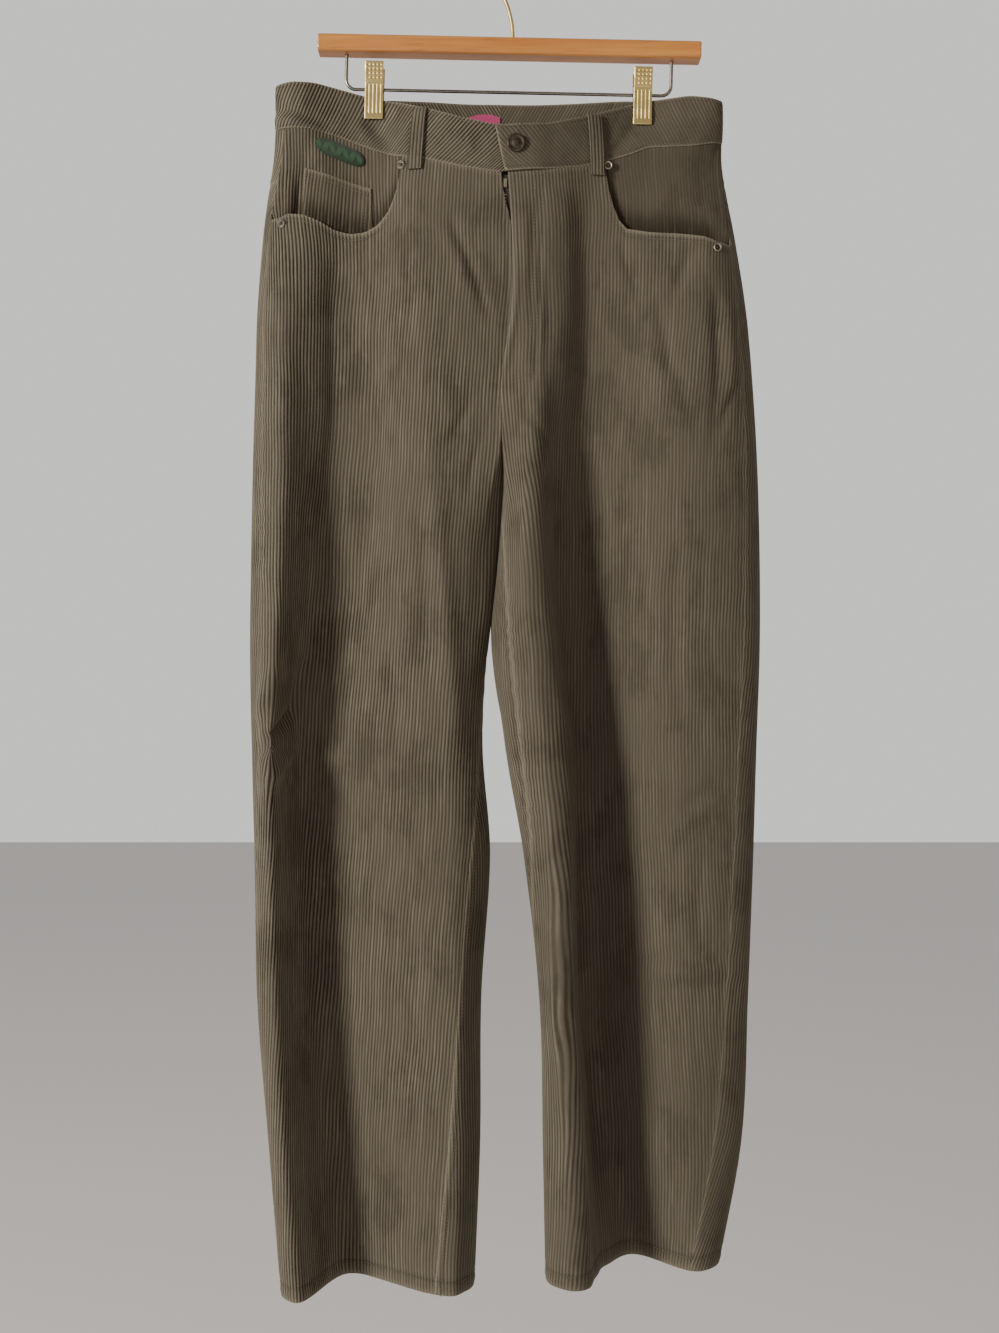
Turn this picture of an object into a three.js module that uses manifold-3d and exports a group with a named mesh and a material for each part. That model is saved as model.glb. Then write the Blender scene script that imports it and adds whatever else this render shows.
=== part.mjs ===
// Wide-leg corduroy trousers with five pockets, held by the waistband in the two clips of a wooden hanger.
// Millimetres, +Z up, +X to the right seen from the front, -Y towards the front.
// The origin is where the hook bears on a rail. Left and right are the wearer's, so the right leg is at -X.
import * as THREE from "three";
import Module from "manifold-3d";

const wasm = await Module();
wasm.setup();

// Cloth thicknesses and the clearance between two pieces
const clothWall = 1.8;
const bandWall = 3;
const bandProud = 0.6;
const hemWall = 3.6;
const hemHeight = 13;
const gap = 0.3;

// Heights that the cut depends on
const centreX = -10;
const flyTop = -219;
const flyEnd = -410;
const forkZ = -442;
const crotchZ = -482;
const roundedZ = -565;
const hemZ = { right: -1229, left: -1213 };
const hemTilt = 0.1;
const hemLevelY = -12;
const hemTiltFrom = -800;

// A list of rows becomes a list of objects with the named columns.
const table = (names, rows) => rows.map((row) => (
  Object.fromEntries(names.map((name, i) => [name, row[i]]))
));

// Each row is a level cross-section of one half of the hanging trousers, from the side fold to the middle.
// A station has its X and the Y of the front (F) and of the back (B): an outer ridge, the deep trough, an
// inner crest, and the inner edge. Above the fork the inner edge is the centre seam.
const sectionColumns = ["z", "edgeX", "ridgeX", "ridgeF", "ridgeB", "troughX", "troughF", "troughB",
  "crestX", "crestF", "crestB", "innerX", "innerF", "innerB"];
const sections = {
  right: table(sectionColumns, [
    [-120, -219, -198, -9, 9, -127, -3.6, 3.6, -70, -15, 12, -10, -20, 16],
    [-145, -219, -197, -10, 10, -127, -3.6, 3.6, -70, -22, 14, -10, -30, 18],
    [-163, -219, -196, -12, 12, -127, -3.8, 3.8, -70, -28, 16, -10, -36, 20],
    [-200, -221, -194, -20, 16, -135, -19, 14, -70, -36, 20, -10, -41, 22],
    [-235, -226, -198, -27, 20, -146, -22, 20, -75, -40, 25, -10, -42, 26],
    [-270, -230, -203, -32, 22, -154, -20, 24, -80, -42, 30, -10, -42, 31],
    [-340, -235, -207, -37, 21, -163, -15, 27, -76, -42, 34, -10, -40, 36],
    [-410, -236.5, -208, -41, 17, -165, -11, 28, -74, -42, 36, -10, -38, 40],
    [-482, -238, -209, -45, 13, -167, -9, 28, -70, -42, 35, -10.3, -36, 38],
    [-560, -238.5, -211, -50, 4, -172, -8, 27, -66, -42, 30, -18, -31, 27],
    [-650, -238.5, -214, -56, -7, -182, -9, 26, -64, -42, 26, -23, -28, 18],
    [-740, -236, -217, -60, -15, -190, -11, 26, -62, -41, 23, -27, -27, 13],
    [-840, -233, -217, -62, -20, -185, -12, 25, -55, -43, 19, -20, -28, 7],
    [-970, -230, -213, -64, -24, -178, -12, 23, -53, -47, 15, -28, -33, 1],
    [-1100, -219, -205, -66, -28, -166, -12, 21, -53, -51, 11, -29, -38, -5],
    [-1229, -208, -192, -68, -32, -149, -11, 19, -54, -55, 7, -34, -43, -10],
  ]),
  left: table(sectionColumns, [
    [-120, 196, 176, -8, 8, 122, -3.6, 3.6, 44, -15, 12, -10, -20, 16],
    [-145, 196, 176, -9, 9, 122, -3.6, 3.6, 44, -22, 14, -10, -30, 18],
    [-166, 196, 175, -12, 11, 121, -3.8, 3.8, 42, -29, 17, -10, -36, 20],
    [-200, 195, 166, -19, 16, 90, -24, 16, 33, -38, 20, -10, -41, 22],
    [-235, 200, 170, -27, 20, 76, -28, 22, 29, -42, 25, -10, -42, 26],
    [-270, 206.5, 174, -32, 22, 71, -26, 26, 28, -43, 30, -10, -42, 31],
    [-340, 217, 170, -38, 24, 68, -21, 32, 26, -44, 34, -10, -40, 36],
    [-410, 223, 162, -40, 24, 68, -16, 34, 24, -45, 37, -10, -38, 40],
    [-482, 227, 161, -40, 22, 66, -10, 34, 16, -50, 34, -9.7, -37, 37],
    [-560, 229, 161, -40, 20, 63, -5, 32, 12, -57, 18, -11, -41, 12],
    [-650, 229, 160, -40, 18, 68, -3, 30, 17, -63, 6, -14, -48, 0],
    [-740, 226, 160, -38, 16, 74, -3, 28, 27, -67, -4, -6, -53, -10],
    [-840, 223, 159, -38, 15, 78, -3, 26, 35, -71, -12, 11, -60, -20],
    [-970, 218, 163, -38, 13, 80, -4, 24, 42, -73, -18, 25, -64, -27],
    [-1100, 212, 166, -39, 11, 90, -5, 22, 48, -75, -22, 28, -66, -31],
    [-1213, 191, 168, -41, 5, 112, -5, 18, 52, -78, -27, 30, -69, -36],
  ]),
};

// How far the side seam lies round to the front of the side fold, and the inseam round from the inner edge.
const seamShifts = {
  right: table(["z", "side", "inseam"], [
    [-120, 14, 0], [-270, 18, 0], [-482, 22, 0], [-650, 22, -4], [-740, 18, -14],
    [-840, 10, -34], [-970, -4, -38], [-1100, -12, -46], [-1229, -14, -54],
  ]),
  left: table(["z", "side", "inseam"], [
    [-120, 2, 0], [-200, 3, 0], [-270, 16, 0], [-410, 24, 0], [-482, 26, -4], [-560, 28, -20],
    [-650, 30, -33], [-740, 31, -33], [-840, 32, -22], [-970, 34, 8], [-1100, 40, 14], [-1213, 42, 16],
  ]),
};

// The heights of the band's upper edge and of the waist seam, round the front and the back.
const waistLine = table(["x", "frontTop", "frontSeam", "backTop", "backSeam"], [
  [-222, -129, -170, -129, -170], [-205, -126, -170, -127, -171], [-185, -127, -171, -129, -173],
  [-160, -133, -178, -134, -178], [-127, -141, -191, -141, -184], [-105, -146, -199, -140, -185],
  [-77, -156, -205, -139, -185], [-46, -167, -213, -140, -186], [-10, -176, -219, -140, -186],
  [30, -173, -216, -141, -186], [60, -164, -212, -141, -186], [88, -154, -204, -141, -186],
  [112, -146, -196, -141, -186], [125, -143, -190, -143, -186], [147, -141, -189, -142, -186],
  [166, -139, -188, -141, -185], [186, -141, -184, -142, -184], [200, -144, -182, -144, -182],
]);

// The scooped pocket mouths, cut out of the front panels
const scoop = {
  right: table(["x", "z"], [
    [-214, -257], [-204, -254], [-191, -255], [-177, -260], [-163, -267], [-149, -270], [-136, -269],
    [-124, -262], [-113, -249], [-107, -235], [-103, -219], [-101, -203],
  ]),
  left: table(["x", "z"], [
    [85, -203], [87, -220], [91, -242], [98, -259], [105, -267], [125, -270.5], [153, -272.5],
    [175, -275], [188, -279], [202, -281],
  ]),
};

// How far the front's centre line wanders to the left, and how far the fly's free edge stands off it
const centreFront = table(["z", "shift", "open"], [
  [-205, 0, 6], [-219, 0.5, 6], [-240, 3, 4.7], [-262, 8.5, 0.8], [-280, 10, 0.15], [-324, 10.3, 0.15],
  [-353, 8, 0.15], [-378, 4, 0.15], [-391, 1.7, 0.15], [-410, 0, 0.15],
]);
const flyLift = 2.4;
const flyLiftReach = 30;
const flyLiftFade = { top: 12, end: 40 };

// Level rows shared by every piece, so that neighbours meet along one seam
const levels = [
  -120, -134, -148, -162, -176, -190, -204, -219, -235, -252, -270, -296, -324, -353, -380, -410, -426,
  -442, -452, -462, -471, -478, -482, -500, -530, -565, -605, -650, -695, -740, -790, -840, -905, -970,
  -1035, -1100, -1150,
];

const smooth = (t) => {
  const u = Math.min(1, Math.max(0, t));
  return u * u * (3 - 2 * u);
};
const mix = (a, b, t) => a + (b - a) * t;
const spread = (from, to, count) => (
  Array.from({ length: count }, (_, i) => mix(from, to, i / (count - 1)))
);

// A cubic through a table's rows, in the named column, at key = value. The ends are held.
function read(rows, key, value, column) {
  const up = rows[0][key] < rows[rows.length - 1][key] ? 1 : -1;
  const last = rows.length - 1;
  if (up * (value - rows[0][key]) <= 0) return rows[0][column];
  if (up * (value - rows[last][key]) >= 0) return rows[last][column];
  const i = rows.findIndex((row) => up * (row[key] - value) > 0) - 1;
  const slope = (k) => {
    const a = rows[Math.max(0, k - 1)];
    const b = rows[Math.min(last, k + 1)];
    return (b[column] - a[column]) / (b[key] - a[key]);
  };
  const width = rows[i + 1][key] - rows[i][key];
  const t = (value - rows[i][key]) / width;
  const [p, q] = [rows[i][column], rows[i + 1][column]];
  return (2 * t ** 3 - 3 * t ** 2 + 1) * p + (t ** 3 - 2 * t ** 2 + t) * width * slope(i)
    + (3 * t ** 2 - 2 * t ** 3) * q + (t ** 3 - t ** 2) * width * slope(i + 1);
}

// A straight reading of a table, for outlines that keep their corners
function readStraight(rows, key, value, column) {
  const up = rows[0][key] < rows[rows.length - 1][key] ? 1 : -1;
  let i = rows.findIndex((row) => up * (row[key] - value) > 0) - 1;
  i = i < -1 ? rows.length - 2 : Math.max(0, i);
  const t = (value - rows[i][key]) / (rows[i + 1][key] - rows[i][key]);
  return mix(rows[i][column], rows[i + 1][column], Math.min(1, Math.max(0, t)));
}

// A smooth run through points, with a given direction at each end. It lies level where its Y turns back.
function run(points, startDirection, endDirection, steps) {
  const along = [0];
  points.slice(1).forEach((p, i) => along.push(along[i] + p.distanceTo(points[i])));
  const last = points.length - 1;
  const tangents = points.map((p, i) => {
    if (i === 0) return startDirection;
    if (i === last) return endDirection;
    const tangent = points[i + 1].clone().sub(points[i - 1]).divideScalar(along[i + 1] - along[i - 1]);
    if ((points[i + 1].y - p.y) * (p.y - points[i - 1].y) <= 0) tangent.y = 0;
    return tangent;
  });
  const made = [];
  for (let i = 0; i < last; i++) {
    const width = along[i + 1] - along[i];
    for (let k = 0; k < steps; k++) {
      const t = k / steps;
      made.push(new THREE.Vector2()
        .addScaledVector(points[i], 2 * t ** 3 - 3 * t ** 2 + 1)
        .addScaledVector(tangents[i], (t ** 3 - 2 * t ** 2 + t) * width)
        .addScaledVector(points[i + 1], 3 * t ** 2 - 2 * t ** 3)
        .addScaledVector(tangents[i + 1], (t ** 3 - t ** 2) * width));
    }
  }
  return made;
}

// The closed cross-section of one half at one height, as points with their distance along it.
// It starts at the side fold and goes round the front, the inner side and the back.
const roundBulge = 0.177;
const runSteps = 14;
const sectionCache = new Map();
function sectionAt(half, z) {
  const cacheKey = half + z.toFixed(4);
  if (sectionCache.has(cacheKey)) return sectionCache.get(cacheKey);
  const v = Object.fromEntries(sectionColumns.slice(1).map((c) => [c, read(sections[half], "z", z, c)]));
  const inward = half === "right" ? 1 : -1;
  const rounded = smooth((forkZ - z) / (forkZ - roundedZ));
  const cornerX = v.innerX - inward * rounded * roundBulge * (v.innerB - v.innerF);
  const turn = rounded * Math.PI / 4;
  const edge = new THREE.Vector2(v.edgeX, (v.ridgeF + v.ridgeB) / 2);
  const frontCorner = new THREE.Vector2(cornerX + read(centreFront, "z", z, "shift"), v.innerF);
  const backCorner = new THREE.Vector2(cornerX, v.innerB);
  const forward = new THREE.Vector2(0, -1);
  const intoCorner = new THREE.Vector2(inward * Math.cos(turn), Math.sin(turn));
  const outOfCorner = new THREE.Vector2(inward * Math.sin(turn), Math.cos(turn));
  const leaving = new THREE.Vector2(-inward * Math.sin(turn), Math.cos(turn));
  const ontoBack = new THREE.Vector2(-inward * Math.cos(turn), Math.sin(turn));
  const front = [edge, new THREE.Vector2(v.ridgeX, v.ridgeF), new THREE.Vector2(v.troughX, v.troughF),
    new THREE.Vector2(v.crestX, v.crestF), frontCorner];
  const back = [backCorner, new THREE.Vector2(v.crestX, v.crestB), new THREE.Vector2(v.troughX, v.troughB),
    new THREE.Vector2(v.ridgeX, v.ridgeB), edge];
  const frontRun = run(front, forward, intoCorner, runSteps);
  const sideRun = run([frontCorner, backCorner], outOfCorner, leaving, runSteps);
  const backRun = run(back, ontoBack, forward, runSteps);
  const points = [...frontRun, ...sideRun, ...backRun, edge.clone()];
  const along = [0];
  points.slice(1).forEach((p, i) => along.push(along[i] + p.distanceTo(points[i])));
  const made = {
    points, along, inward, length: along[along.length - 1],
    frontEnd: along[frontRun.length], backStart: along[frontRun.length + sideRun.length],
    corners: rounded < 1 ? [frontRun.length, frontRun.length + sideRun.length] : [],
  };
  sectionCache.set(cacheKey, made);
  return made;
}

// The cloth's outer surface: a point at distance s along the section at height z, moved out by off.
// A corner's direction is that of the side on which the point lies.
function clothPoint(half, s, z, off = 0) {
  const { points, along, inward, length, corners } = sectionAt(half, z);
  const wrapped = ((s % length) + length) % length;
  let i = along.findIndex((a) => a > wrapped) - 1;
  if (i < 0) i = points.length - 2;
  const t = (wrapped - along[i]) / (along[i + 1] - along[i]);
  const ring = points.length - 1;
  const tangentAt = (k) => {
    const low = corners.includes(k) && k === i ? k : k - 1;
    const high = corners.includes(k) && k === i + 1 ? k : k + 1;
    return points[(high + ring) % ring].clone().sub(points[(low + ring) % ring]).normalize();
  };
  const tangent = tangentAt(i).lerp(tangentAt(i + 1), t).normalize();
  const lift = half === "left" ? flyLiftAt(s, z) : 0;
  const x = mix(points[i].x, points[i + 1].x, t) + inward * tangent.y * (off + lift);
  const y = mix(points[i].y, points[i + 1].y, t) - inward * tangent.x * (off + lift);
  const hemShare = smooth((hemTiltFrom - z) / (hemTiltFrom - hemZ[half]));
  return new THREE.Vector3(x, y, z + hemShare * hemTilt * (y - hemLevelY));
}

// The fly's free edge stands a little proud of the cloth under it.
function flyLiftAt(s, z) {
  if (z > flyTop + 1 || z < flyEnd) return 0;
  const fromCentre = sectionAt("left", z).frontEnd - s;
  if (fromCentre < 0) return 0;
  const share = smooth((flyTop - z) / flyLiftFade.top) * smooth((z - flyEnd) / flyLiftFade.end);
  return flyLift * share * (1 - smooth(fromCentre / flyLiftReach));
}

// Distances along the section of the seams that bound the panels
const sideSeam = (half, z) => read(seamShifts[half], "z", z, "side");
function innerSeam(half, z) {
  const { frontEnd, backStart } = sectionAt(half, z);
  return (frontEnd + backStart) / 2 + read(seamShifts[half], "z", z, "inseam");
}

// The crotch seam runs from the fork down round the inner side to the inseam, and up again behind.
const crotchShare = (z) => {
  if (z >= forkZ) return 0;
  const t = Math.min(1, (forkZ - z) / (forkZ - crotchZ));
  return 1 - Math.sqrt(1 - t * t);
};
function frontInnerEdge(half, z) {
  const { frontEnd } = sectionAt(half, z);
  const fly = half === "left" && z > flyEnd ? read(centreFront, "z", z, "open") : gap / 2;
  return mix(frontEnd - fly, innerSeam(half, z) - gap / 2, crotchShare(z));
}
function backInnerEdge(half, z) {
  const { backStart } = sectionAt(half, z);
  return mix(backStart + gap / 2, innerSeam(half, z) + gap / 2, crotchShare(z));
}

// The distance along the front where the cloth has this X
const cornerClear = 0.001;
function frontAt(x, z) {
  const half = x < centreX + read(centreFront, "z", z, "shift") ? "right" : "left";
  const { points, along, inward, frontEnd } = sectionAt(half, z);
  const target = inward * x;
  const last = along.findIndex((a) => a >= frontEnd);
  for (let i = last; i > 0; i--) {
    if (inward * points[i - 1].x <= target) {
      const t = (target - inward * points[i - 1].x) / (inward * (points[i].x - points[i - 1].x));
      const s = mix(along[i - 1], along[i], Math.min(1, Math.max(0, t)));
      return { half, s: Math.min(s, frontEnd - cornerClear) };
    }
  }
  return { half, s: 0 };
}
function backAt(x, z) {
  const half = x < centreX ? "right" : "left";
  const { points, along, inward, backStart } = sectionAt(half, z);
  const target = inward * x;
  for (let i = along.findIndex((a) => a >= backStart) + 1; i < points.length; i++) {
    if (inward * points[i].x <= target) {
      const t = (inward * points[i - 1].x - target) / (inward * (points[i - 1].x - points[i].x));
      const s = mix(along[i - 1], along[i], Math.min(1, Math.max(0, t)));
      return { half, s: Math.max(s, backStart + cornerClear) };
    }
  }
  return { half, s: along[along.length - 1] };
}
const onFront = (x, z, off) => {
  const at = frontAt(x, z);
  return clothPoint(at.half, at.s, z, off);
};
const onBack = (x, z, off) => {
  const at = backAt(x, z);
  return clothPoint(at.half, at.s, z, off);
};

// A closed wall between two sheets of points with one layout: sheet[i][j] is column i, row j.
// A point that stands for several rows is one object, and the faces that it closes up are left out.
function wall(outer, inner) {
  const index = new Map();
  const list = [];
  const at = (p) => {
    if (!index.has(p)) {
      index.set(p, list.length);
      list.push(p);
    }
    return index.get(p);
  };
  const faces = [];
  const face = (a, b, c) => {
    const [p, q, r] = [at(a), at(b), at(c)];
    if (p !== q && q !== r && r !== p) faces.push([p, q, r]);
  };
  const quad = (a, b, c, d) => {
    face(a, b, c);
    face(a, c, d);
  };
  const columns = outer.length;
  const rows = outer[0].length;
  for (let i = 0; i + 1 < columns; i++) {
    for (let j = 0; j + 1 < rows; j++) {
      quad(outer[i][j], outer[i][j + 1], outer[i + 1][j + 1], outer[i + 1][j]);
      quad(inner[i][j], inner[i + 1][j], inner[i + 1][j + 1], inner[i][j + 1]);
    }
  }
  const rim = [];
  for (let i = 0; i + 1 < columns; i++) rim.push([i, 0, i + 1, 0]);
  for (let j = 0; j + 1 < rows; j++) rim.push([columns - 1, j, columns - 1, j + 1]);
  for (let i = columns - 1; i > 0; i--) rim.push([i, rows - 1, i - 1, rows - 1]);
  for (let j = rows - 1; j > 0; j--) rim.push([0, j, 0, j - 1]);
  rim.forEach(([i, j, k, l]) => quad(outer[i][j], outer[k][l], inner[k][l], inner[i][j]));
  const volume = faces.reduce((sum, [a, b, c]) => sum + list[a].dot(list[b].clone().cross(list[c])), 0);
  if (volume < 0) faces.forEach((f) => f.reverse());
  const positions = new Float32Array(list.flatMap((p) => [p.x, p.y, p.z]));
  return new THREE.BufferGeometry()
    .setAttribute("position", new THREE.BufferAttribute(positions, 3))
    .setIndex(faces.flat());
}

// Materials
const finish = (color, roughness, metalness = 0) => (
  new THREE.MeshStandardMaterial({ color, roughness, metalness })
);
const corduroy = finish(0x665d4d, 0.95);
const darkMetal = finish(0x4a4640, 0.45, 0.8);
const brass = finish(0xc9a45a, 0.3, 1);
const steel = finish(0x8a8378, 0.35, 1);
const wood = finish(0xb87d3b, 0.45);
const greenThread = finish(0x2e5231, 0.7);
const pinkTape = finish(0xd0568c, 0.7);

const trousers = new THREE.Group();
function add(name, geometry, material, group = trousers) {
  const mesh = new THREE.Mesh(geometry, material);
  mesh.name = name;
  group.add(mesh);
  return mesh;
}

// The columns of a front panel stand at these X at pocket height. Between the side seam and the inner edge
// they follow the folds, so that one runs down the trough and one down the ridge or the crest.
const pocketZ = -244;
const frontColumnX = {
  right: [-204, -191, -177, -163, -149, -136, -124, -113, -107, -103, -101, -88, -75, -62, -49, -36, -23],
  left: [188, 175, 164, 153, 139, 125, 112, 105, 98, 91, 87, 85, 74, 63, 52, 41, 30, 19, 8],
};
const followed = { right: [1, 2], left: [2, 3] };
const mouthX = { right: scoop.right[scoop.right.length - 1].x, left: scoop.left[0].x };
function frontAnchors(half, z) {
  const { along, frontEnd } = sectionAt(half, z);
  return [sideSeam(half, z) + gap / 2, ...followed[half].map((n) => along[n * runSteps]), frontEnd];
}
const frontShares = {};
for (const half of ["right", "left"]) {
  const anchors = frontAnchors(half, pocketZ);
  const shares = frontColumnX[half].map((x) => {
    const { s } = frontAt(x, pocketZ);
    const span = anchors.slice(1, -1).filter((a) => a <= s).length;
    return { span, part: (s - anchors[span]) / (anchors[span + 1] - anchors[span]) };
  });
  frontShares[half] = [{ span: 0, part: 0 }, ...shares, { span: anchors.length - 2, part: 1 }];
}
const backColumns = 18;
const backShares = spread(0, 1, backColumns);

// The inner edge leaves the centre at the fly and under the fork. Columns near it are drawn along the most,
// and evenly again some way below.
const evenBelow = 140;
const strongPull = 2.5;
const pull = (z) => mix(strongPull, 1, smooth((crotchZ - z) / evenBelow));
function frontColumn(half, { span, part }, z) {
  const anchors = frontAnchors(half, z);
  const plain = mix(anchors[span], anchors[span + 1], part);
  const shift = span === anchors.length - 2 ? frontInnerEdge(half, z) - anchors[anchors.length - 1] : 0;
  return plain + shift * part ** pull(z);
}
function backColumn(half, share, z) {
  const { length, backStart } = sectionAt(half, z);
  const from = length + sideSeam(half, z) - gap / 2;
  return mix(from, backStart, share) + (backInnerEdge(half, z) - backStart) * share ** pull(z);
}

// The height at which a column of a half crosses the waist line's named edge
function waistHeight(half, at, edge) {
  let z = -180;
  for (let i = 0; i < 4; i++) z = readStraight(waistLine, "x", clothPoint(half, at(z), z).x, edge);
  return z;
}

// A sheet of columns on one half. Each column has its distance along the section and the height of its top.
const snap = 3;
function levelSheet(half, columns, bottom, offAt) {
  return columns.map(({ at, top }) => {
    const hemTop = bottom + hemHeight;
    const below = levels.filter((z) => z > hemTop + snap);
    const rows = below.filter((z) => z < top - snap);
    const heights = [top, ...rows, hemTop + 1, hemTop, bottom];
    const missing = below.length - rows.length;
    const points = heights.map((z) => clothPoint(half, at(z), z, offAt(z)));
    return [...Array(missing).fill(points[0]), ...points];
  });
}
const panelBottom = (half) => hemZ[half];

// The wall gets thicker on its plain side where the hem is turned up.
const insideOff = (half) => (z) => (z <= hemZ[half] + hemHeight ? -hemWall : -clothWall);

// Front panels, from the side seam to the fly and the inseam, with the pocket mouth cut out at the top
function frontPanel(half) {
  const columns = frontShares[half].map((share, k) => {
    const at = (z) => frontColumn(half, share, z);
    const seam = waistHeight(half, at, "frontSeam") - gap / 2;
    const inMouth = k === 0 || Math.abs(frontColumnX[half][k - 1]) >= Math.abs(mouthX[half]);
    let top = seam;
    for (let i = 0; i < 4 && inMouth; i++) {
      top = Math.min(readStraight(scoop[half], "x", clothPoint(half, at(top), top).x, "z"), seam);
    }
    return { at, top };
  });
  const outer = levelSheet(half, columns, panelBottom(half), () => 0);
  const inner = levelSheet(half, columns, panelBottom(half), insideOff(half));
  return wall(outer, inner);
}

// Back panels, from the side seam round to the centre back seam and the inseam, up to the yoke seam
const yokeSide = -222;
const yokeCentre = -258;
const yokeBend = 1.2;
const yokeSeam = (share) => mix(yokeSide, yokeCentre, share ** yokeBend);
function backPanel(half) {
  const columns = backShares.map((share) => ({
    at: (z) => backColumn(half, share, z),
    top: yokeSeam(share) - gap / 2,
  }));
  const outer = levelSheet(half, columns, panelBottom(half), () => 0);
  const inner = levelSheet(half, columns, panelBottom(half), insideOff(half));
  return wall(outer, inner);
}

// The back yokes, between the back panels and the band
const yokeRows = 4;
function yoke(half) {
  const sheet = (off) => backShares.map((share) => {
    const at = (z) => backColumn(half, share, z);
    const low = yokeSeam(share) + gap / 2;
    const high = waistHeight(half, at, "backSeam") - gap / 2;
    return Array.from({ length: yokeRows }, (_, j) => {
      const z = mix(high, low, j / (yokeRows - 1));
      return clothPoint(half, at(z), z, off);
    });
  });
  return wall(sheet(0), sheet(-clothWall));
}

// The waistband, two mirrored halves that meet at the centre back. The left one laps over the right at the
// front, where the right one runs on under it and carries the button.
const bandRows = 4;
const lapEnd = { top: -15.5, bottom: -6.5 };
const underEnd = 13;
const lapLift = bandWall + gap;
const lapClear = 42;
const lapRise = 24;
// The X of the last columns at the band's upper and lower edges, towards each end of the lap
const lapColumns = {
  right: table(["top", "bottom"], [[-14, -12], [-4, -4], [6, 6], [underEnd, underEnd]]),
  left: table(["top", "bottom"], [[4, 4], [-5, -1], [lapEnd.top, lapEnd.bottom]]),
};
function bandHalf(half) {
  const columns = [];
  const backPart = backShares.slice().reverse().map((share) => ({
    at: (z) => backColumn(half, share, z), back: true,
  }));
  const frontPart = frontShares[half].slice(1, -1).map((share) => ({
    at: (z) => frontColumn(half, share, z),
  }));
  columns.push(...backPart, ...frontPart);
  const sheet = (off) => {
    const made = columns.map(({ at, back }) => {
      const face = back ? "back" : "front";
      const high = waistHeight(half, at, face + "Top");
      const low = waistHeight(half, at, face + "Seam") + gap / 2;
      return Array.from({ length: bandRows }, (_, j) => {
        const z = mix(high, low, j / (bandRows - 1));
        const { x } = clothPoint(half, at(z), z);
        const lift = half === "left" && !back ? lapLift * smooth((lapClear - x) / lapRise) : 0;
        return clothPoint(half, at(z), z, off + lift);
      });
    });
    lapColumns[half].forEach(({ top, bottom }) => {
      made.push(Array.from({ length: bandRows }, (_, j) => {
        const x = mix(top, bottom, j / (bandRows - 1));
        const high = readStraight(waistLine, "x", x, "frontTop");
        const low = readStraight(waistLine, "x", x, "frontSeam") + gap / 2;
        const z = mix(high, low, j / (bandRows - 1));
        return onFront(x, z, off + (half === "left" ? lapLift : 0));
      }));
    });
    return made;
  };
  return wall(sheet(bandProud), sheet(bandProud - bandWall));
}

// The pocket facings, seen in the mouths of the front pockets, a little behind the front panels
const facingBottom = -296;
const facingBehind = clothWall + 3 * gap;
const facingPast = 2;
const facingColumns = (half) => {
  const mouth = frontColumnX[half].indexOf(mouthX[half]);
  return frontShares[half].slice(0, mouth + 2 + facingPast);
};
function facing(half) {
  const below = levels.filter((z) => z > facingBottom + snap);
  const sheet = (off) => facingColumns(half).map((share) => {
    const at = (z) => frontColumn(half, share, z);
    const top = waistHeight(half, at, "frontSeam") - 2 * gap;
    const rows = below.filter((z) => z < top - snap);
    const points = [top, ...rows, facingBottom].map((z) => clothPoint(half, at(z), z, off));
    return [...Array(below.length - rows.length).fill(points[0]), ...points];
  });
  return wall(sheet(-facingBehind), sheet(-facingBehind - clothWall));
}

// A patch laid on the front or the back: its outline is the height at the top and the bottom for each X.
function patch(place, xs, topAt, bottomAt, rows, off, thickness) {
  const sheet = (o) => xs.map((x) => Array.from({ length: rows }, (_, j) => {
    const z = mix(topAt(x), bottomAt(x), j / (rows - 1));
    return place(x, z, o);
  }));
  return wall(sheet(off + thickness), sheet(off));
}

for (const half of ["right", "left"]) {
  add("front_panel_" + half, frontPanel(half), corduroy);
  add("back_panel_" + half, backPanel(half), corduroy);
  add("back_yoke_" + half, yoke(half), corduroy);
  add("waistband_" + half, bandHalf(half), corduroy);
  add("pocket_facing_" + half, facing(half), corduroy);
}

// The small coin pocket on the wearer's right facing. It stands on the facing's own columns, and its inner
// and lower edges run along the pocket's mouth.
const coin = { from: 2, to: 8, topZ: -208, fall: 0.32, rows: 5, clear: 1.5, least: 3, wall: 1.1,
  behind: facingBehind - 2 * gap };
const coinShares = frontShares.right.slice(coin.from, coin.to + 1);
const coinStart = clothPoint("right", frontColumn("right", coinShares[0], coin.topZ), coin.topZ).x;
const coinSheet = (off) => coinShares.map((share) => {
  const at = (z) => frontColumn("right", share, z);
  const high = coin.topZ - coin.fall * (clothPoint("right", at(coin.topZ), coin.topZ).x - coinStart);
  let low = high - coin.least;
  for (let i = 0; i < 4; i++) {
    const { x } = clothPoint("right", at(low), low);
    low = Math.min(high - coin.least, readStraight(scoop.right, "x", x, "z") + coin.clear);
  }
  return spread(high, low, coin.rows).map((z) => clothPoint("right", at(z), z, off));
});
add("coin_pocket", wall(coinSheet(-coin.behind + coin.wall), coinSheet(-coin.behind)), corduroy);

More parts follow.
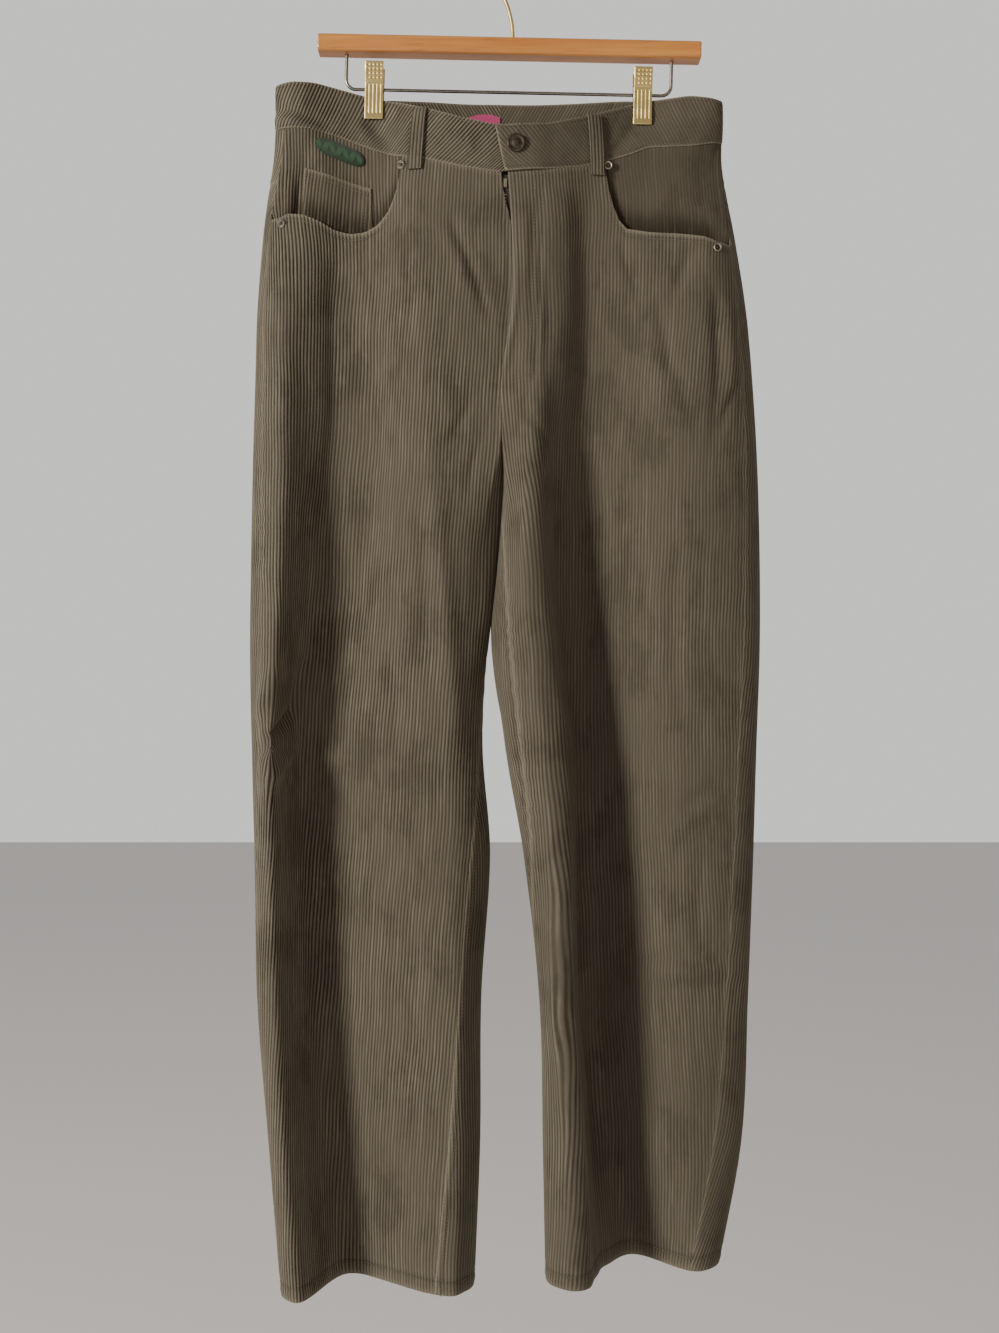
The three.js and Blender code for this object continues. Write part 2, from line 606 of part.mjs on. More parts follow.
// The fly's inner pieces lie on one plain strip behind the centre: the zip's tape, the cloth shield behind
// it, and the slider before it at the top.
function flyStrip(name, { from, to, top, bottom, rows, behind, thickness }, material) {
  const sheet = (depth) => spread(from, to, 3).map((x) => spread(top, bottom, rows).map((z) => (
    new THREE.Vector3(x, read(sections.right, "z", z, "innerF") + depth, z)
  )));
  add(name, wall(sheet(behind), sheet(behind + thickness)), material);
}
const tapeBehind = clothWall + gap;
const tapeWall = 1;
const shieldBehind = tapeBehind + tapeWall + gap;
flyStrip("zip_tape", { from: -19, to: 5, top: flyTop - 4, bottom: -372, rows: 9, behind: tapeBehind,
  thickness: tapeWall }, darkMetal);
flyStrip("fly_shield", { from: -24, to: 12, top: flyTop - 2, bottom: -380, rows: 9, behind: shieldBehind,
  thickness: clothWall }, corduroy);
flyStrip("zip_slider", { from: -7.4, to: -4, top: flyTop - 6, bottom: flyTop - 14, rows: 3,
  behind: tapeBehind - gap - 1.5, thickness: 1.5 }, steel);

// Belt loops: a strip over the band, fixed above its upper edge and below the waist seam
const loopWidth = 12;
const loopWall = 2;
const loopStand = 1.6;
const loopEnd = 1;
const loopBelow = 11;
const loops = table(["name", "x", "face", "lean"], [
  ["belt_loop_1", -83, "front", -5], ["belt_loop_2", 75, "front", 3], ["belt_loop_3", -150, "back", 0],
  ["belt_loop_4", -10, "back", 0], ["belt_loop_5", 146, "back", 0],
]);
loops.forEach(({ name, x, face, lean }) => {
  const place = face === "front" ? onFront : onBack;
  const high = readStraight(waistLine, "x", x, face + "Top") - 1;
  const low = readStraight(waistLine, "x", x, face + "Seam") - loopBelow;
  const heights = spread(high, low, 9);
  const bow = (z) => Math.sin(Math.PI * (high - z) / (high - low)) ** 0.5;
  const standAt = (z) => bandProud + loopEnd + loopStand * bow(z);
  const sheet = (off) => spread(-loopWidth / 2, loopWidth / 2, 3).map((across) => heights.map((z) => {
    const middle = x + lean * (high - z) / (high - low);
    return place(middle + across, z, standAt(z) + off);
  }));
  add(name, wall(sheet(loopWall), sheet(0)), corduroy);
});

// The back patch pockets, with a pointed lower edge
const backPocket = { width: 132, top: -276, side: 128, point: 18 };
[["right", -118], ["left", 98]].forEach(([half, x]) => {
  const bottomAt = (at) => backPocket.top - backPocket.side
    - backPocket.point * (1 - Math.abs(at - x) / (backPocket.width / 2));
  add("back_pocket_" + half, patch(onBack, spread(x - backPocket.width / 2, x + backPocket.width / 2, 9),
    () => backPocket.top, bottomAt, 8, 0.5, clothWall), corduroy);
});

// A round piece set on the cloth, turned from a profile of radius and height
function stud(name, profile, x, z, off, sides) {
  const points = profile.map(([r, h]) => new THREE.Vector2(r, h));
  const mesh = add(name, new THREE.LatheGeometry(points, sides), darkMetal);
  const seat = onFront(x, z, off);
  const out = onFront(x, z, off + 1).sub(seat).normalize();
  mesh.position.copy(seat);
  mesh.quaternion.setFromUnitVectors(new THREE.Vector3(0, 1, 0), out);
}
const button = { x: 3.5, z: -194, radius: 8.5, height: 3 };
stud("waist_button", [[0, 0], [4, 0], [4, 1], [button.radius, 1.2], [button.radius, 2.4], [7, button.height],
  [0, button.height - 0.3]], button.x, button.z, bandProud + lapLift + 2 * gap, 20);
const rivetProfile = [[0, 0], [4.4, 0], [4.4, 0.7], [3, 1.4], [1.4, 1.1], [0, 1.9]];
const rivets = table(["name", "x", "z"], [
  ["rivet_1", -210, -263], ["rivet_2", -101, -209], ["rivet_3", 88, -209], ["rivet_4", 187, -285],
]);
rivets.forEach(({ name, x, z }) => stud(name, rivetProfile, x, z, gap + 0.5, 12));

// The woven size tape sewn inside the back of the band, and the stitched badge on the right facing
add("size_tape", patch(onBack, spread(-40, -10.6, 6), (x) => -149 - ((x + 25) / 15) ** 2 * 3, () => -178, 3,
  bandProud - bandWall - 1.3, 1), pinkTape);
const badge = { left: -181, right: -136, leftZ: -184, rightZ: -202, half: 8 };
const badgeMiddle = (x) => mix(badge.leftZ, badge.rightZ, (x - badge.left) / (badge.right - badge.left));
const badgeHalf = (x) => {
  const t = Math.abs((x - (badge.left + badge.right) / 2) / ((badge.right - badge.left) / 2));
  return badge.half * Math.sqrt(Math.max(0.08, 1 - t ** 4));
};
const badgeWall = 1.2;
const badgeBehind = clothWall - gap * 0.6;
add("stitched_badge", patch(
  onFront, spread(badge.left, badge.right, 10), (x) => badgeMiddle(x) + badgeHalf(x),
  (x) => badgeMiddle(x) - badgeHalf(x), 4, -badgeBehind, badgeWall,
), greenThread);

// The hanger hangs a little lower on the wearer's left.
const hanger = new THREE.Group();
hanger.rotation.y = THREE.MathUtils.degToRad(1.2);
trousers.add(hanger);

function solidOf(geometry) {
  const source = geometry.index ? geometry.toNonIndexed() : geometry;
  const positions = source.getAttribute("position").array;
  const index = new Map();
  const vertices = [];
  const triangles = new Uint32Array(positions.length / 3);
  for (let i = 0; i < triangles.length; i++) {
    const p = [0, 1, 2].map((k) => positions[3 * i + k]);
    const id = p.map((v) => Math.round(v * 1e4)).join();
    if (!index.has(id)) {
      index.set(id, vertices.length / 3);
      vertices.push(...p);
    }
    triangles[i] = index.get(id);
  }
  return new wasm.Manifold(new wasm.Mesh({
    numProp: 3, vertProperties: new Float32Array(vertices), triVerts: triangles,
  }));
}
function geometryOf(solid) {
  const mesh = solid.getMesh();
  return new THREE.BufferGeometry()
    .setAttribute("position", new THREE.BufferAttribute(new Float32Array(mesh.vertProperties), 3))
    .setIndex([...mesh.triVerts]);
}

// The wooden bar, with a socket for the hook and one for each end of the clip rod
const bar = {
  length: 355, depth: 24, height: 16, top: -85.5, topCorner: 3, lowCorner: 4.5, bevel: 1.2,
};
const hookWire = 3.6;
const rodWire = 3.2;
const socketClear = gap;
const rod = { halfSpan: 151, z: -133.7, bend: 9 };
const barProfile = new THREE.Shape();
const [halfDepth, halfHeight] = [bar.depth / 2, bar.height / 2];
barProfile.moveTo(-halfDepth + bar.lowCorner, -halfHeight);
barProfile.lineTo(halfDepth - bar.lowCorner, -halfHeight);
barProfile.quadraticCurveTo(halfDepth, -halfHeight, halfDepth, -halfHeight + bar.lowCorner);
barProfile.lineTo(halfDepth, halfHeight - bar.topCorner);
barProfile.quadraticCurveTo(halfDepth, halfHeight, halfDepth - bar.topCorner, halfHeight);
barProfile.lineTo(-halfDepth + bar.topCorner, halfHeight);
barProfile.quadraticCurveTo(-halfDepth, halfHeight, -halfDepth, halfHeight - bar.topCorner);
barProfile.lineTo(-halfDepth, -halfHeight + bar.lowCorner);
barProfile.quadraticCurveTo(-halfDepth, -halfHeight, -halfDepth + bar.lowCorner, -halfHeight);
const barGeometry = new THREE.ExtrudeGeometry(barProfile, {
  depth: bar.length - 2 * bar.bevel, bevelEnabled: true, bevelThickness: bar.bevel, bevelSize: bar.bevel,
  bevelOffset: -bar.bevel, bevelSegments: 2, curveSegments: 4,
});
barGeometry.translate(0, 0, bar.bevel - bar.length / 2);
barGeometry.rotateX(Math.PI / 2).rotateZ(Math.PI / 2);
barGeometry.translate(0, 0, bar.top - bar.height / 2);
const socket = (x, from, to, radius) => {
  const hole = new THREE.CylinderGeometry(radius, radius, to - from, 16);
  hole.rotateX(Math.PI / 2).translate(x, 0, (from + to) / 2);
  return solidOf(hole);
};
const hookDepth = 12;
const rodDepth = 8;
const barBottom = bar.top - bar.height;
const drilled = [
  socket(3, bar.top - hookDepth, bar.top + 5, hookWire / 2 + socketClear),
  socket(-rod.halfSpan, barBottom - 5, barBottom + rodDepth, rodWire / 2 + socketClear),
  socket(rod.halfSpan, barBottom - 5, barBottom + rodDepth, rodWire / 2 + socketClear),
].reduce((solid, hole) => solid.subtract(hole), solidOf(barGeometry));
add("hanger_bar", geometryOf(drilled), wood, hanger);

// A round wire along a smooth line of points
function wire(name, points, diameter, steps, material, smoothness = 0.5) {
  const circle = new THREE.Shape();
  circle.absarc(0, 0, diameter / 2, 0, Math.PI * 2);
  const path = new THREE.CatmullRomCurve3(points.map(([x, z]) => new THREE.Vector3(x, 0, z)), false,
    "catmullrom", smoothness);
  const geometry = new THREE.ExtrudeGeometry(circle, {
    steps, extrudePath: path, curveSegments: 4, bevelEnabled: false,
  });
  add(name, geometry, material, hanger);
}
const hookRadius = 20;
const hookCentreZ = hookWire / 2 - hookRadius;
const hookArc = spread(200, -28, 12).map((degrees) => {
  const angle = THREE.MathUtils.degToRad(degrees);
  return [hookRadius * Math.cos(angle), hookCentreZ + hookRadius * Math.sin(angle)];
});
const hookStem = [[3, bar.top - hookDepth + gap], [3, bar.top + 2], [1.5, -68], [-4, -50], [-13, -36]];
wire("hanger_hook", [...hookStem, ...hookArc], hookWire, 44, brass);
const rodTop = barBottom + rodDepth - gap;
const bendPoints = spread(0, 90, 5).map((degrees) => {
  const angle = THREE.MathUtils.degToRad(degrees);
  return [rod.halfSpan - rod.bend * (1 - Math.cos(angle)), rod.z + rod.bend * (1 - Math.sin(angle))];
});
const rodHalf = [[rod.halfSpan, rodTop], [rod.halfSpan, rod.z + rod.bend + 8], ...bendPoints,
  [rod.halfSpan - rod.bend - 10, rod.z], [60, rod.z]];
wire("clip_rod", [...rodHalf.map(([x, z]) => [-x, z]), [0, rod.z], ...rodHalf.slice().reverse()],
  rodWire, 60, steel, 0.3);

// Each clip: two sprung plates with the spring's coil round the rod between them
const clip = {
  x: 124.5, width: 17, top: -110.5, bottom: -162.5, plate: 1.2, flare: 10.5, waist: 5.5, jaw: 6,
};
const plateLine = [[clip.flare, clip.top], [clip.flare - 1.4, clip.top - 10], [clip.waist, rod.z + 3],
  [clip.waist, rod.z - 5], [clip.jaw, clip.bottom + 14], [clip.jaw, clip.bottom]];
function clipPlate(side) {
  const shape = new THREE.Shape();
  const outline = [...plateLine, ...plateLine.slice().reverse().map(([y, z]) => [y + clip.plate, z])];
  outline.forEach(([y, z], i) => (i ? shape.lineTo(side * y, z) : shape.moveTo(side * y, z)));
  const geometry = new THREE.ExtrudeGeometry(shape, { depth: clip.width, bevelEnabled: false });
  geometry.translate(0, 0, -clip.width / 2);
  return geometry.rotateX(Math.PI / 2).rotateZ(Math.PI / 2);
}
const coilOuter = clip.waist - gap;
const coilInner = rodWire / 2 + gap;
const coilLength = 13;
[["right", -clip.x], ["left", clip.x]].forEach(([half, x]) => {
  add("clip_front_" + half, clipPlate(-1), brass, hanger).position.x = x;
  add("clip_back_" + half, clipPlate(1), brass, hanger).position.x = x;
  const profile = [[coilInner, -coilLength / 2], [coilOuter, -coilLength / 2], [coilOuter, coilLength / 2],
    [coilInner, coilLength / 2], [coilInner, -coilLength / 2]].map(([r, h]) => new THREE.Vector2(r, h));
  const coil = add("clip_spring_" + half, new THREE.LatheGeometry(profile, 16), steel, hanger);
  coil.rotation.z = Math.PI / 2;
  coil.position.set(x, 0, rod.z);
});

export default trousers;
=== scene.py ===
import math
import bpy
import numpy as np
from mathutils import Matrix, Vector


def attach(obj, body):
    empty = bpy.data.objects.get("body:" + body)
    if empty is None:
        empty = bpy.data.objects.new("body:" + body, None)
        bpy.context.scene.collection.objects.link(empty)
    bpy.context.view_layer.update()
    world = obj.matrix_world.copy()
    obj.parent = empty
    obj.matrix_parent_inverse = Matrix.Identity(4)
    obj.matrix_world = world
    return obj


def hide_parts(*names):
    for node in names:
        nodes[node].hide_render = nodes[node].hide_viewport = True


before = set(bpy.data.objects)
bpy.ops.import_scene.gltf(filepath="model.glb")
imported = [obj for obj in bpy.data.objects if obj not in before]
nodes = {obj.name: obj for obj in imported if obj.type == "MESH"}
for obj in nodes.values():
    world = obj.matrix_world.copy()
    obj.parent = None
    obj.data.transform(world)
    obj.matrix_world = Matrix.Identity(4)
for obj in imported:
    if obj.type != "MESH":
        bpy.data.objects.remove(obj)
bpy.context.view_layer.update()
scene = bpy.context.scene


# The view: the camera stands level with the knees, square to the hanging front, and takes in all but the
# hook. A pale floor lies well below the hems. A large lamp stands at the upper left, and a weak warm one
# at the right front.
eye = Vector((-0.0112, -1.6, -0.6673))
long_side_seen = 1.2397
sensor = 36.0
camera_data = bpy.data.cameras.new("camera")
camera_data.sensor_width = sensor
camera_data.lens = sensor * -eye.y / long_side_seen
camera = bpy.data.objects.new("camera", camera_data)
camera.location = eye
camera.rotation_euler = (math.pi / 2, 0, 0)
scene.collection.objects.link(camera)
scene.camera = camera


def linear(code):
    """An sRGB hex colour as linear red, green, blue and alpha."""
    shares = [int(code[i:i + 2], 16) / 255 for i in (1, 3, 5)]
    return [s / 12.92 if s <= 0.04045 else ((s + 0.055) / 1.055) ** 2.4 for s in shares] + [1.0]


def add_node(tree, kind, links=None, settings=None, **values):
    """A node of that kind, with its settings, its input values and its links, by socket name or number."""
    made = tree.nodes.new(kind)
    for key, value in (settings or {}).items():
        setattr(made, key, value)
    for key, value in values.items():
        made.inputs[key.replace("_", " ")].default_value = value
    for key, source in (links or {}).items():
        tree.links.new(source, made.inputs[key])
    return made


def plain_material(name):
    """An empty material, its tree and its output."""
    material = bpy.data.materials.new(name)
    material.use_nodes = True
    material.node_tree.nodes.clear()
    return material, material.node_tree


floor_paint, tree = plain_material("matt_floor_paint")
coat = add_node(tree, "ShaderNodeBsdfPrincipled", Base_Color=linear("#dedad8"), Roughness=0.9)
add_node(tree, "ShaderNodeOutputMaterial", {"Surface": coat.outputs[0]})
floor_half, floor_level = 9.0, -1.75
floor_mesh = bpy.data.meshes.new("floor")
corners = [(x * floor_half, y * floor_half, floor_level) for x, y in ((-1, -1), (1, -1), (1, 1), (-1, 1))]
floor_mesh.from_pydata(corners, [], [(0, 1, 2, 3)])
floor_mesh.materials.append(floor_paint)
floor = bpy.data.objects.new("floor", floor_mesh)
scene.collection.objects.link(floor)

world = bpy.data.worlds.new("pale_room")
world.use_nodes = True
tree = world.node_tree
tree.nodes.clear()
direction = add_node(tree, "ShaderNodeTexCoord")
axes = add_node(tree, "ShaderNodeSeparateXYZ", {"Vector": direction.outputs["Generated"]})
behind = add_node(tree, "ShaderNodeMapRange", {"Value": axes.outputs["Y"]}, {"interpolation_type": "SMOOTHSTEP"},
                  From_Min=-0.35, From_Max=0.6, To_Min=0.3, To_Max=0.95)
room = add_node(tree, "ShaderNodeBackground", {"Strength": behind.outputs[0]}, Color=linear("#f4f2f0"))
add_node(tree, "ShaderNodeOutputWorld", {"Surface": room.outputs[0]})
scene.world = world


def lamp(name, place, aim, size, watts, colour):
    """A square area lamp that looks at a point."""
    data = bpy.data.lights.new(name, "AREA")
    data.size, data.energy, data.color = size, watts, linear(colour)[:3]
    made = bpy.data.objects.new(name, data)
    made.location = place
    made.rotation_euler = (Vector(aim) - Vector(place)).to_track_quat("-Z", "Y").to_euler()
    scene.collection.objects.link(made)


lamp("key_lamp", (-3.2, -2.6, 0.3), (0, 0, -0.62), 0.8, 215, "#fffaf1")
lamp("warm_lamp", (1.5, -1.9, -0.2), (0, 0, -0.6), 1.2, 7, "#ffe0bd")


# The legs and seat: two front and two back panels of heavy cotton corduroy with eight cords to the inch.
# They hang from the clips in long soft rolls and troughs, and the hems are turned up and sewn.
# Each half of the garment is read from level cross-sections in millimetres, side fold to middle.
MM = 0.001
CLOTH_WALL = 1.8
HEM_WALL = 3.6
HEM_HEIGHT = 13
SEAM_GAP = 0.06
CENTRE_X = -10
FLY_TOP, FLY_END = -219, -410
FORK_Z, CROTCH_Z, ROUNDED_Z = -442, -482, -565
HEM_Z = {"right": -1229, "left": -1213}
HEM_TILT, HEM_LEVEL_Y, HEM_TILT_FROM = 0.1, -12, -800
FLY_LIFT, FLY_LIFT_REACH, FLY_LIFT_TOP, FLY_LIFT_END = 2.4, 30, 12, 40
ROUND_BULGE = 0.177

# z, edgeX, then X and the Y of front and back at the outer ridge, the trough, the crest and the inner edge
SECTIONS = {
    "right": [
        (-120, -219, -198, -9, 9, -127, -3.6, 3.6, -70, -15, 12, -10, -20, 16),
        (-145, -219, -197, -10, 10, -127, -3.6, 3.6, -70, -22, 14, -10, -30, 18),
        (-163, -219, -196, -12, 12, -127, -3.8, 3.8, -70, -28, 16, -10, -36, 20),
        (-200, -221, -194, -20, 16, -135, -19, 14, -70, -36, 20, -10, -41, 22),
        (-235, -226, -198, -27, 20, -146, -22, 20, -75, -40, 25, -10, -42, 26),
        (-270, -230, -203, -32, 22, -154, -20, 24, -80, -42, 30, -10, -42, 31),
        (-340, -235, -207, -37, 21, -163, -15, 27, -76, -42, 34, -10, -40, 36),
        (-410, -236.5, -208, -41, 17, -165, -11, 28, -74, -42, 36, -10, -38, 40),
        (-482, -238, -209, -45, 13, -167, -9, 28, -70, -42, 35, -10.3, -36, 38),
        (-560, -238.5, -211, -50, 4, -172, -8, 27, -66, -42, 30, -18, -31, 27),
        (-650, -238.5, -214, -56, -7, -182, -9, 26, -64, -42, 26, -23, -28, 18),
        (-740, -236, -217, -60, -15, -190, -11, 26, -62, -41, 23, -27, -27, 13),
        (-840, -233, -217, -62, -20, -185, -12, 25, -55, -43, 19, -20, -28, 7),
        (-970, -230, -213, -64, -24, -178, -12, 23, -53, -47, 15, -28, -33, 1),
        (-1100, -219, -205, -66, -28, -166, -12, 21, -53, -51, 11, -29, -38, -5),
        (-1229, -208, -192, -68, -32, -149, -11, 19, -54, -55, 7, -34, -43, -10),
    ],
    "left": [
        (-120, 196, 176, -8, 8, 122, -3.6, 3.6, 44, -15, 12, -10, -20, 16),
        (-145, 196, 176, -9, 9, 122, -3.6, 3.6, 44, -22, 14, -10, -30, 18),
        (-166, 196, 175, -12, 11, 121, -3.8, 3.8, 42, -29, 17, -10, -36, 20),
        (-200, 195, 166, -19, 16, 90, -24, 16, 33, -38, 20, -10, -41, 22),
        (-235, 200, 170, -27, 20, 76, -28, 22, 29, -42, 25, -10, -42, 26),
        (-270, 206.5, 174, -32, 22, 71, -26, 26, 28, -43, 30, -10, -42, 31),
        (-340, 217, 170, -38, 24, 68, -21, 32, 26, -44, 34, -10, -40, 36),
        (-410, 223, 162, -40, 24, 68, -16, 34, 24, -45, 37, -10, -38, 40),
        (-482, 227, 161, -40, 22, 66, -10, 34, 16, -50, 34, -9.7, -37, 37),
        (-560, 229, 161, -40, 20, 63, -5, 32, 12, -57, 18, -11, -41, 12),
        (-650, 229, 160, -40, 18, 68, -3, 30, 17, -63, 6, -14, -48, 0),
        (-740, 226, 160, -38, 16, 74, -3, 28, 27, -67, -4, -6, -53, -10),
        (-840, 223, 159, -38, 15, 78, -3, 26, 35, -71, -12, 11, -60, -20),
        (-970, 218, 163, -38, 13, 80, -4, 24, 42, -73, -18, 25, -64, -27),
        (-1100, 212, 166, -39, 11, 90, -5, 22, 48, -75, -22, 28, -66, -31),
        (-1213, 191, 168, -41, 5, 112, -5, 18, 52, -78, -27, 30, -69, -36),
    ],
}
# z, and how far the side seam and the inseam lie round from their folds
SEAM_SHIFTS = {
    "right": [(-120, 14, 0), (-270, 18, 0), (-482, 22, 0), (-650, 22, -4), (-740, 18, -14),
              (-840, 10, -34), (-970, -4, -38), (-1100, -12, -46), (-1229, -14, -54)],
    "left": [(-120, 2, 0), (-200, 3, 0), (-270, 16, 0), (-410, 24, 0), (-482, 26, -4), (-560, 28, -20),
             (-650, 30, -33), (-740, 31, -33), (-840, 32, -22), (-970, 34, 8), (-1100, 40, 14),
             (-1213, 42, 16)],
}
# z, the centre line's shift, and how far the fly's free edge stands off it
CENTRE_FRONT = [(-205, 0, 6), (-219, 0.5, 6), (-240, 3, 4.7), (-262, 8.5, 0.8), (-280, 10, 0.15),
                (-324, 10.3, 0.15), (-353, 8, 0.15), (-378, 4, 0.15), (-391, 1.7, 0.15), (-410, 0, 0.15)]
# x, the band's upper edge and the waist seam in front, and the same behind
WAIST_LINE = np.array([
    (-222, -129, -170, -129, -170), (-205, -126, -170, -127, -171), (-185, -127, -171, -129, -173),
    (-160, -133, -178, -134, -178), (-127, -141, -191, -141, -184), (-105, -146, -199, -140, -185),
    (-77, -156, -205, -139, -185), (-46, -167, -213, -140, -186), (-10, -176, -219, -140, -186),
    (30, -173, -216, -141, -186), (60, -164, -212, -141, -186), (88, -154, -204, -141, -186),
    (112, -146, -196, -141, -186), (125, -143, -190, -143, -186), (147, -141, -189, -142, -186),
    (166, -139, -188, -141, -185), (186, -141, -184, -142, -184), (200, -144, -182, -144, -182),
], float)
SCOOP = {
    "right": [(-214, -257), (-204, -254), (-191, -255), (-177, -260), (-163, -267), (-149, -270), (-136, -269),
              (-124, -262), (-113, -249), (-107, -235), (-103, -219), (-101, -203)],
    "left": [(85, -203), (87, -220), (91, -242), (98, -259), (105, -267), (125, -270.5), (153, -272.5),
             (175, -275), (188, -279), (202, -281)],
}


def smooth(t):
    u = np.clip(t, 0, 1)
    return u * u * (3 - 2 * u)


def cubic(rows, column, at):
    """A cubic through a table's rows, whose first column is the key. The ends are held."""
    data = np.array(rows, float)
    if data[0, 0] > data[-1, 0]:
        data = data[::-1]
    keys, values = data[:, 0], data[:, column]
    slopes = np.empty_like(values)
    slopes[1:-1] = (values[2:] - values[:-2]) / (keys[2:] - keys[:-2])
    slopes[0] = (values[1] - values[0]) / (keys[1] - keys[0])
    slopes[-1] = (values[-1] - values[-2]) / (keys[-1] - keys[-2])
    at = np.clip(at, keys[0], keys[-1])
    i = np.clip(np.searchsorted(keys, at, side="right") - 1, 0, len(keys) - 2)
    width = keys[i + 1] - keys[i]
    t = (at - keys[i]) / width
    return ((2 * t ** 3 - 3 * t ** 2 + 1) * values[i] + (t ** 3 - 2 * t ** 2 + t) * width * slopes[i]
            + (3 * t ** 2 - 2 * t ** 3) * values[i + 1] + (t ** 3 - t ** 2) * width * slopes[i + 1])


def curve_run(points, start, end, steps=40):
    """Smooth runs through points, one for each level. It lies flat where its Y turns back."""
    points = np.stack(points, axis=1)
    chord = np.linalg.norm(np.diff(points, axis=1), axis=2)
    tangents = np.empty_like(points)
    tangents[:, 0], tangents[:, -1] = start, end
    span = (chord[:, :-1] + chord[:, 1:])[..., None]
    tangents[:, 1:-1] = (points[:, 2:] - points[:, :-2]) / span
    turns = (points[:, 2:, 1] - points[:, 1:-1, 1]) * (points[:, 1:-1, 1] - points[:, :-2, 1]) <= 0
    tangents[:, 1:-1, 1][turns] = 0
    t = (np.arange(steps) / steps)[None, :, None]
    made = []
    for i in range(points.shape[1] - 1):
        width = chord[:, i][:, None, None]
        made.append((2 * t ** 3 - 3 * t ** 2 + 1) * points[:, None, i]
                    + (t ** 3 - 2 * t ** 2 + t) * width * tangents[:, None, i]
                    + (3 * t ** 2 - 2 * t ** 3) * points[:, None, i + 1]
                    + (t ** 3 - t ** 2) * width * tangents[:, None, i + 1])
    return np.concatenate([*made, points[:, -1:]], axis=1)


class Half:
    """The outer surface of one half, by the distance round it from the side fold and the height."""
    level_step, samples = 2.0, {"front": 360, "side": 60, "back": 360}

    def __init__(self, name):
        self.name, self.inward = name, 1 if name == "right" else -1
        self.levels = np.arange(-116, -1238, -self.level_step)
        z = self.levels
        v = [cubic(SECTIONS[name], k, z) for k in range(1, 14)]
        edge_x, ridge_x, ridge_f, ridge_b, trough_x, trough_f, trough_b = v[:7]
        crest_x, crest_f, crest_b, inner_x, inner_f, inner_b = v[7:]
        rounded = smooth((FORK_Z - z) / (FORK_Z - ROUNDED_Z))
        corner = inner_x - self.inward * rounded * ROUND_BULGE * (inner_b - inner_f)
        turn = rounded * math.pi / 4
        cos, sin, way = np.cos(turn), np.sin(turn), self.inward
        pair = lambda x, y: np.stack(np.broadcast_arrays(x, y), axis=-1).astype(float)
        edge = pair(edge_x, (ridge_f + ridge_b) / 2)
        front_corner = pair(corner + cubic(CENTRE_FRONT, 1, z), inner_f)
        back_corner = pair(corner, inner_b)
        forward = pair(0 * z, -1)
        runs = {
            "front": curve_run([edge, pair(ridge_x, ridge_f), pair(trough_x, trough_f),
                                pair(crest_x, crest_f), front_corner], forward, pair(way * cos, sin)),
            "side": curve_run([front_corner, back_corner], pair(way * sin, cos), pair(-way * sin, cos)),
            "back": curve_run([back_corner, pair(crest_x, crest_b), pair(trough_x, trough_b),
                               pair(ridge_x, ridge_b), edge], pair(-way * cos, sin), forward),
        }
        self.tables, lengths = {}, []
        for part, points in runs.items():
            along = np.concatenate([np.zeros((len(z), 1)),
                                    np.cumsum(np.linalg.norm(np.diff(points, axis=1), axis=2), axis=1)], axis=1)
            lengths.append(along[:, -1])
            share = np.linspace(0, 1, self.samples[part] + 1)
            even = np.stack([[np.interp(share * a[-1], a, p[:, c]) for c in (0, 1)]
                             for a, p in zip(along, points)]).transpose(0, 2, 1)
            tangent = np.gradient(even, axis=1)
            tangent /= np.linalg.norm(tangent, axis=2, keepdims=True)
            normal = np.stack([way * tangent[..., 1], -way * tangent[..., 0]], axis=-1)
            self.tables[part] = np.concatenate([even, normal], axis=2)
        self.ends = np.cumsum(lengths, axis=0)

    def measures(self, z):
        """The distances of the front's end, the back's start and the whole way round."""
        return [np.interp(-np.asarray(z, float), -self.levels, e) for e in self.ends]

    def surface(self, s, z):
        """X, Y and the outward direction there."""
        z = np.asarray(z, float)
        front_end, back_start, length = self.measures(z)
        s = np.mod(s, length)
        row = np.clip((self.levels[0] - z) / self.level_step, 0, len(self.levels) - 1.001)
        k = row.astype(int)
        f = (row - k)[..., None]

        def look(part, share):
            table = self.tables[part]
            n = table.shape[1] - 1
            a = np.clip(share, 0, 1) * n
            i = np.minimum(a.astype(int), n - 1)
            g = (a - i)[..., None]
            upper = table[k, i] * (1 - g) + table[k, i + 1] * g
            lower = table[k + 1, i] * (1 - g) + table[k + 1, i + 1] * g
            return upper * (1 - f) + lower * f

        made = look("front", s / front_end)
        side = (s >= front_end) & (s < back_start)
        made[side] = look("side", (s - front_end) / (back_start - front_end))[side]
        back = s >= back_start
        made[back] = look("back", (s - back_start) / (length - back_start))[back]
        return made

    def point(self, s, z, off=0.0):
        """A point of the cloth in millimetres, moved out by off."""
        s, z, off = np.broadcast_arrays(np.asarray(s, float), np.asarray(z, float), np.asarray(off, float))
        found = self.surface(s, z)
        if self.name == "left":
            off = off + self.fly_lift(s, z)
        x = found[..., 0] + found[..., 2] * off
        y = found[..., 1] + found[..., 3] * off
        share = smooth((HEM_TILT_FROM - z) / (HEM_TILT_FROM - HEM_Z[self.name]))
        return np.stack([x, y, z + share * HEM_TILT * (y - HEM_LEVEL_Y)], axis=-1)

    def fly_lift(self, s, z):
        """The fly's free edge stands a little proud of the cloth under it."""
        inside = self.measures(z)[0] - s
        share = smooth((FLY_TOP - z) / FLY_LIFT_TOP) * smooth((z - FLY_END) / FLY_LIFT_END)
        lift = FLY_LIFT * share * (1 - smooth(inside / FLY_LIFT_REACH))
        return np.where((z > FLY_TOP + 1) | (z < FLY_END) | (inside < 0), 0, lift)

    def side_seam(self, z):
        return cubic(SEAM_SHIFTS[self.name], 1, z)

